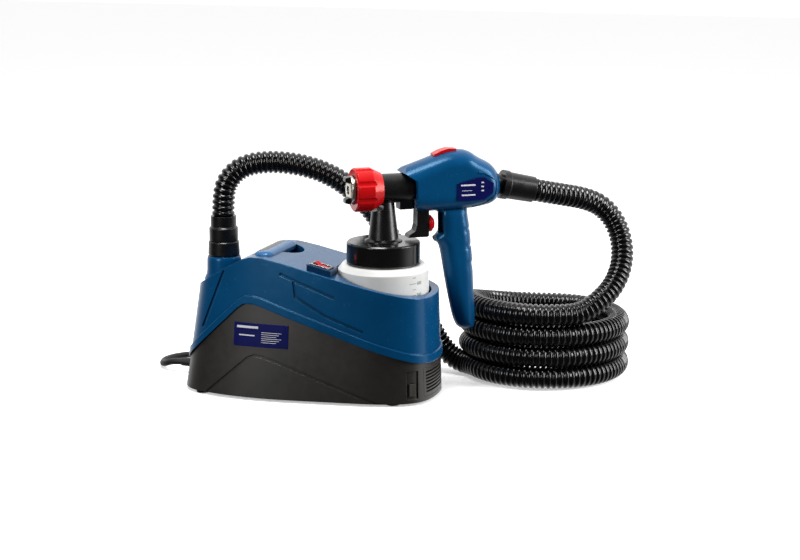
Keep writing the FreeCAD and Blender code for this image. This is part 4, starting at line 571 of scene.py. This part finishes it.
def drum(start, along, radius, sides=48):
    """A closed cylinder from start, along a vector."""
    along = Vector(along)
    turn = along.to_track_quat("Z", "Y")
    angles = [math.tau * i / sides for i in range(sides)]
    ring = [turn @ Vector((radius * math.cos(angle), radius * math.sin(angle), 0)) for angle in angles]
    corners = [Vector(start) + spoke for spoke in ring] + [Vector(start) + along + spoke for spoke in ring]
    faces = [(i, (i + 1) % sides, sides + (i + 1) % sides, sides + i) for i in range(sides)]
    return corners, faces + [tuple(range(sides))[::-1], tuple(range(sides, 2 * sides))]


def closed_mesh(name, *solids):
    """One mesh from lists of corners in millimetres and faces, doubles merged and normals outward."""
    shape = bmesh.new()
    for corners, faces in solids:
        points = [shape.verts.new(Vector(corner) * MM) for corner in corners]
        for face in faces:
            shape.faces.new([points[index] for index in face])
    bmesh.ops.remove_doubles(shape, verts=shape.verts, dist=1e-7)
    bmesh.ops.recalc_face_normals(shape, faces=shape.faces)
    data = bpy.data.meshes.new(name)
    shape.to_mesh(data)
    shape.free()
    return new_object(name, data)


def soften(thing, degrees=32):
    """Smooth shading, with the edges that turn by more than this kept sharp."""
    thing.data.shade_smooth()
    thing.data.set_sharp_from_angle(angle=math.radians(degrees))


def finish_piece(thing, material, body, replaced=(), in_gun=False):
    """Places a piece modelled in the gun's frame, gives it its finish and lets it ride."""
    if in_gun:
        thing.data.transform(Matrix.Translation((CUP_X * MM, 0, 0)) @ GUN_TURN)
    dress(thing, material)
    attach(thing, body)
    if replaced:
        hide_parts(*replaced)


def gun_shells(material):
    """Two rounded halves of body and grip, with every opening cut into both."""
    body, grip = rounded_outline(GUN_BODY), rounded_outline(GUN_GRIP)
    cutters = [
        slab(GUN_FRONT, -40, 40),
        block((34, 60), (-9, 9), (160, 249)),                            # the trigger's slot
        block((50, 71.3), (-11, 11), (180.5, 205.5)),                    # the flow knob's pocket
        block((56.7, 83.3), (-BUTTON_HALF, BUTTON_HALF), (253, 290)),    # the release button's well
        block((10, 36), (-9, 9), (207, 236)),                            # room for the spray head's lug
        drum((10, 0, SPRAY_Z), (26, 0, 0), 16.6),                        # the barrel's bore
        drum((118, 0, 237), (40, 0, -8.5), 11.1),                        # the hose's bore
    ]
    for name, side in (("gun_shell_left", -1), ("gun_shell_right", 1)):
        main = closed_mesh(name + "_body", shell_half(body, BODY_HALF, BODY_ROUND, side))
        handle = closed_mesh(name + "_grip", shell_half(grip, GRIP_HALF, GRIP_ROUND, side))
        tools = [closed_mesh(f"cutter_{index}", cutter) for index, cutter in enumerate(cutters)]
        for other, action in [(handle, "UNION")] + [(tool, "DIFFERENCE") for tool in tools]:
            step = main.modifiers.new(other.name, "BOOLEAN")
            step.solver, step.operation, step.object = "EXACT", action, other
        shell = new_object(name + "_shell", plain_mesh(main))
        for spare in [main, handle] + tools:
            bpy.data.objects.remove(spare)
        soften(shell, 38)
        finish_piece(shell, material, "gun", [name], in_gun=True)


def raised_line(points, width, rise):
    """A moulded ridge that follows the side of the gun's body along the points."""
    loop = rounded_outline(GUN_BODY)
    rows = []
    for index, point in enumerate(points):
        along = (points[min(index + 1, len(points) - 1)] - points[max(index - 1, 0)]).normalized()
        across = Vector((-along.y, along.x)) * width / 2
        stations = [point - across, point - across * 0.6, point + across * 0.6, point + across]
        level = crown(depth_inside([tuple(station) for station in stations], loop), BODY_HALF, BODY_ROUND)
        lift = [-0.5, rise, rise, -0.5]
        rows.append([(station.x, -(h + up), station.y) for station, h, up in zip(stations, level, lift)])
    corners = [corner for row in rows for corner in row]
    faces = [(4 * r + c, 4 * r + (c + 1) % 4, 4 * r + 4 + (c + 1) % 4, 4 * r + 4 + c)
             for r in range(len(rows) - 1) for c in range(4)]
    faces += [(3, 2, 1, 0), tuple(4 * len(rows) - 4 + c for c in range(4))]
    return corners, faces


def spaced_line(corners, step=2.0):
    """Points at even steps along a run of corners."""
    made = []
    for a, b in zip(corners, corners[1:]):
        a, b = Vector(a), Vector(b)
        count = max(round((b - a).length / step), 1)
        made += [a.lerp(b, i / count) for i in range(count)]
    return made + [Vector(corners[-1])]


def trigger_axle(material):
    """The trigger's pin, shorter than the rounded shells are thick."""
    axle = closed_mesh("trigger_axle", drum((44, -15, 256), (0, 30, 0), 1.95, 24))
    soften(axle)
    finish_piece(axle, material, "gun", ["trigger_pin"], in_gun=True)


def gun_ridges(material):
    """The raised border round the back of the gun's plate."""
    border = [(104, 250.5), (111, 250), (125, 242), (127.5, 238), (126, 224), (114, 213.5), (100, 209.5)]
    ridge = closed_mesh("gun_plate_border", raised_line(spaced_line(border), 3.2, 0.9))
    step = ridge.modifiers.new("round", "BEVEL")
    step.width, step.segments = 0.35 * MM, 2
    mesh = plain_mesh(ridge)
    ridge.modifiers.clear()
    ridge.data = mesh
    soften(ridge)
    finish_piece(ridge, material, "gun", in_gun=True)


def lathe(profile, sides=64):
    """A closed ring from (along, radius) points turned about the X axis."""
    corners, faces, count = [], [], len(profile)
    for i in range(sides):
        c, s = math.cos(math.tau * i / sides), math.sin(math.tau * i / sides)
        corners += [(along, radius * c, radius * s) for along, radius in profile]
        for j in range(count):
            k = (j + 1) % count
            n = (i + 1) % sides
            faces.append((i * count + j, i * count + k, n * count + k, n * count + j))
    return corners, faces


def cap_face(material):
    """Nickel-plated front of the air cap, dished towards the nozzle between the two black horns."""
    ring = [(-40.6, 5.0), (-40.9, 6.2), (-40.5, 9.0), (-40.2, 12.6), (-39.2, 15.2), (-36.6, 16.2),
            (-36.0, 16.1), (-38.4, 14.4), (-39.4, 12.0), (-39.6, 5.0)]
    corners, faces = lathe(ring)
    face = closed_mesh("air_cap_face", ([(x, y, z + SPRAY_Z) for x, y, z in corners], faces))
    soften(face)
    finish_piece(face, material, "cap", in_gun=True)


# ---------------------------------------------------------------- floor unit

def hose_outlet(material):
    """The outlet's tube, with its foot carried on down behind the cover's wall so that no gap shows there."""
    # Height above the floor and radius: up the outside, over the lip and down the bore.
    profile = [(74, 20.5), (74, 23), (119, 23), (122.5, 22.2), (125.5, 20.7), (130, 19.9), (143, 19.5),
               (146, 18.9), (147, 18), (147, 15.8), (97, 15.8), (96, 20.5)]
    corners, faces = lathe(profile)
    tube = closed_mesh("hose_outlet", ([(HOSE_FROM_BASE[0][0] + x, y, z) for z, x, y in corners], faces))
    soften(tube)
    finish_piece(tube, material, "floor_unit", ["outlet_spout"])


def pill_bar(name, middle, half):
    """A bar across Y with a soft, nearly elliptical section that closes in at both ends."""
    power, ends, sides, rows = 2.6, 9, 36, 26
    reach = half[1]
    corners = []
    for row in range(rows + 1):
        # Rows crowd towards the ends, where the section shrinks, but never to nothing.
        share = -1 + 2 * row / rows
        y = math.copysign(1 - (1 - abs(share)) ** 1.8, share) * reach
        inner = max(abs(y) - (reach - ends), 0) / ends
        size = max(math.sqrt(max(1 - inner ** 2, 0)) ** 0.8, 0.02)
        for i in range(sides):
            c, s = math.cos(math.tau * i / sides), math.sin(math.tau * i / sides)
            x = math.copysign(abs(c) ** (2 / power), c) * half[0] * size
            z = math.copysign(abs(s) ** (2 / power), s) * half[2] * size
            corners.append((middle[0] + x, middle[1] + y, middle[2] + z))
    faces = [(r * sides + c, r * sides + (c + 1) % sides,
              (r + 1) * sides + (c + 1) % sides, (r + 1) * sides + c)
             for r in range(rows) for c in range(sides)]
    faces += [tuple(range(sides)), tuple(rows * sides + c for c in range(sides))]
    bar = closed_mesh(name, (corners, faces))
    soften(bar, 50)
    return bar


def carry_bar(shell, pad):
    """The carry handle's bar over the finger bay, with a black strip along its top and rear side as painted
    shadow of the gap behind it.
    """
    low, high = (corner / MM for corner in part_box("carry_handle"))
    middle, half = (low + high) / 2, (high - low) / 2
    bar = pill_bar("carry_bar", middle, (half.x, half.y, half.z))
    finish_piece(bar, shell, "floor_unit", ["carry_handle"])
    # Painted shadow: a black strip standing out past the bar's top and rear side, where the gap behind the
    # bar is in shade.
    strip = pill_bar("carry_bar_painted_shadow_strip", middle + Vector((-2.2, 0, 0.3)),
                     (half.x - 0.4, half.y - 5, half.z - 0.2))
    finish_piece(strip, pad, "floor_unit")


# ---------------------------------------------------------------- prints

def cup_scale(material):
    """Volume marks on the cup: a long line each 100 ml, a short one each 50 ml, and plain figures."""
    facing = math.radians(-27)
    floor_z, per_100 = 54.8, 13.15
    long_line, short_line, half_width, pieces = 9, 4.5, 0.28, 6
    corners, faces = [], []

    def put(points, cells):
        """Adds one closed form to the piece."""
        base = len(corners)
        corners.extend(points)
        faces.extend([tuple(index + base for index in cell) for cell in cells])

    def on_cup(across, height, lift):
        """The point on the cup's wall that far across and up, lifted off it by so much."""
        angle = facing + across / CUP_RADIUS
        out = CUP_RADIUS + lift
        return (CUP_X + out * math.cos(angle), out * math.sin(angle), height)

    for half_step in range(2, 14):
        reach = long_line if half_step % 2 == 0 else short_line
        height = floor_z + per_100 * half_step / 2
        for piece in range(pieces):
            a, b = -reach * piece / pieces, -reach * (piece + 1) / pieces
            put([on_cup(x, height + z, lift) for x in (b, a) for z in (-half_width, half_width)
                 for lift in (-0.1, 0.12)], BLOCK_FACES)
        if half_step % 2:
            continue
        words = bpy.data.curves.new("figure", "FONT")
        words.body = str(half_step * 50)
        words.size, words.extrude, words.align_x = 5.2, 0.11, "LEFT"
        holder = new_object("figure", words)
        figure = plain_mesh(holder)
        put([on_cup(1.5 + v.co.x, height - 1.8 + v.co.y, v.co.z) for v in figure.vertices],
            [tuple(face.vertices) for face in figure.polygons])
        bpy.data.objects.remove(holder)
    marks = closed_mesh("cup_scale", (corners, faces))
    finish_piece(marks, material, "cup")


def print_bars(name, bars, place, body, material):
    """Plain pale bars on a plate, each as x, z, width and height; place gives the point on the plate's face
    at x and z, lifted by so much."""
    solids = []
    for x, z, width, height in bars:
        columns = max(round(width / 3), 1)
        for column in range(columns):
            a, b = x + width * column / columns, x + width * (column + 1) / columns
            solids.append(([place(across, z + up, lift) for across in (a, b) for up in (0, height)
                            for lift in (-0.05, 0.06)], BLOCK_FACES))
    finish_piece(closed_mesh(name, *solids), material, body)


def plate_print(material):
    """Rating plate: a thick bar, a short bar and thin lines. Gun plate: two bars, a line and three dots."""
    plate = NODES["rating_plate"]
    tree = BVHTree.FromObject(plate, bpy.context.evaluated_depsgraph_get())

    def on_unit(x, z, lift):
        hit = tree.ray_cast(Vector((x, -200, z)) * MM, Vector((0, 1, 0)))[0]
        return (x, hit.y / MM - lift, z)

    bars = [(-67, 80, 26, 2.6), (-64, 71.5, 19, 1.4)]
    bars += [(-37, 76 - 2.2 * row, 24 - 3 * (row % 3), 0.6) for row in range(6)]
    print_bars("rating_plate_print", bars, on_unit, "floor_unit", material)
    gun = Matrix.Translation((CUP_X, 0, 0)) @ GUN_TURN

    def on_gun(x, z, lift):
        return gun @ Vector((x, -BODY_HALF - 0.8 - lift, z))

    marks = [(83, 236, 17, 1.8), (84, 225, 16, 1.6), (84, 230.5, 12, 0.6), (107, 238.5, 3, 1.6),
             (107, 234, 3, 1.6), (107, 229.5, 3, 1.6)]
    print_bars("gun_plate_print", marks, on_gun, "gun", material)


# ---------------------------------------------------------------- room

def floor(material):
    """White paper, half a millimetre under the feet."""
    size, level = 6, -0.5 * MM
    data = bpy.data.meshes.new("studio_floor")
    data.from_pydata([(x, y, level) for x, y in ((-size, -size), (size, -size), (size, size), (-size, size))],
                     [], [(0, 1, 2, 3)])
    thing = new_object("studio_floor", data)
    data.materials.append(material)
    # The white paper is lit for itself and throws no veil of light up the dark mouldings.
    thing.visible_glossy = False
    thing.visible_diffuse = False


def studio():
    """A pale room, bright behind for sheen on the upper faces and dim in front, with a soft lamp in front, a
    strip at the right for the rims and a box overhead."""
    world = bpy.data.worlds.new("studio")
    world.use_nodes = True
    tree = world.node_tree
    ray = add(tree, "ShaderNodeSeparateXYZ", {0: add(tree, "ShaderNodeTexCoord").outputs["Generated"]})
    level = add(tree, "ShaderNodeMapRange", {"Value": ray.outputs["Y"], "From Min": -0.45, "From Max": 0.65,
                                             "To Min": 0.05, "To Max": 1.25}, interpolation_type="SMOOTHSTEP")
    tree.links.new(level.outputs["Result"], tree.nodes["Background"].inputs["Strength"])
    tree.nodes["Background"].inputs["Color"].default_value = (1, 1, 1, 1)
    bpy.context.scene.world = world
    bpy.context.scene.view_settings.view_transform = "Standard"
    middle = (0.05, 0.05, 0.12)
    add_light("soft_box", (-0.6, -1.6, 0.8), middle, (0.5, 0.8), 17)
    add_light("rim_strip", (1.4, 0.2, 0.6), middle, (0.5, 1.1), 22)
    add_light("top_box", (-0.1, -0.2, 1.7), middle, (0.7, 0.5), 22)
    pale = bpy.data.materials.new("pale_floor")
    pale.use_nodes = True
    shader = pale.node_tree.nodes["Principled BSDF"]
    shader.inputs["Base Color"].default_value = colour("#F6F6F6")
    shader.inputs["Roughness"].default_value = 0.9
    shader.inputs["Emission Color"].default_value = colour("#FFFFFF")
    shader.inputs["Emission Strength"].default_value = 0.4
    floor(pale)


# ---------------------------------------------------------------- the whole scene

set_camera()
studio()
MATERIALS = make_materials()
for look, names in LOOKS.items():
    for node_name in names:
        dress(NODES[node_name], MATERIALS[look])
air_hose(MATERIALS["hose_black"])
mains_lead(MATERIALS["lead_rubber"])
gun_shells(MATERIALS["abs_blue"])
gun_ridges(MATERIALS["abs_blue"])
trigger_axle(MATERIALS["steel"])
hose_outlet(MATERIALS["abs_blue"])
cap_face(MATERIALS["nickel"])
carry_bar(MATERIALS["abs_blue_painted_lit"], MATERIALS["nylon_black"])
cup_scale(MATERIALS["cup_ink"])
plate_print(MATERIALS["pale_ink"])
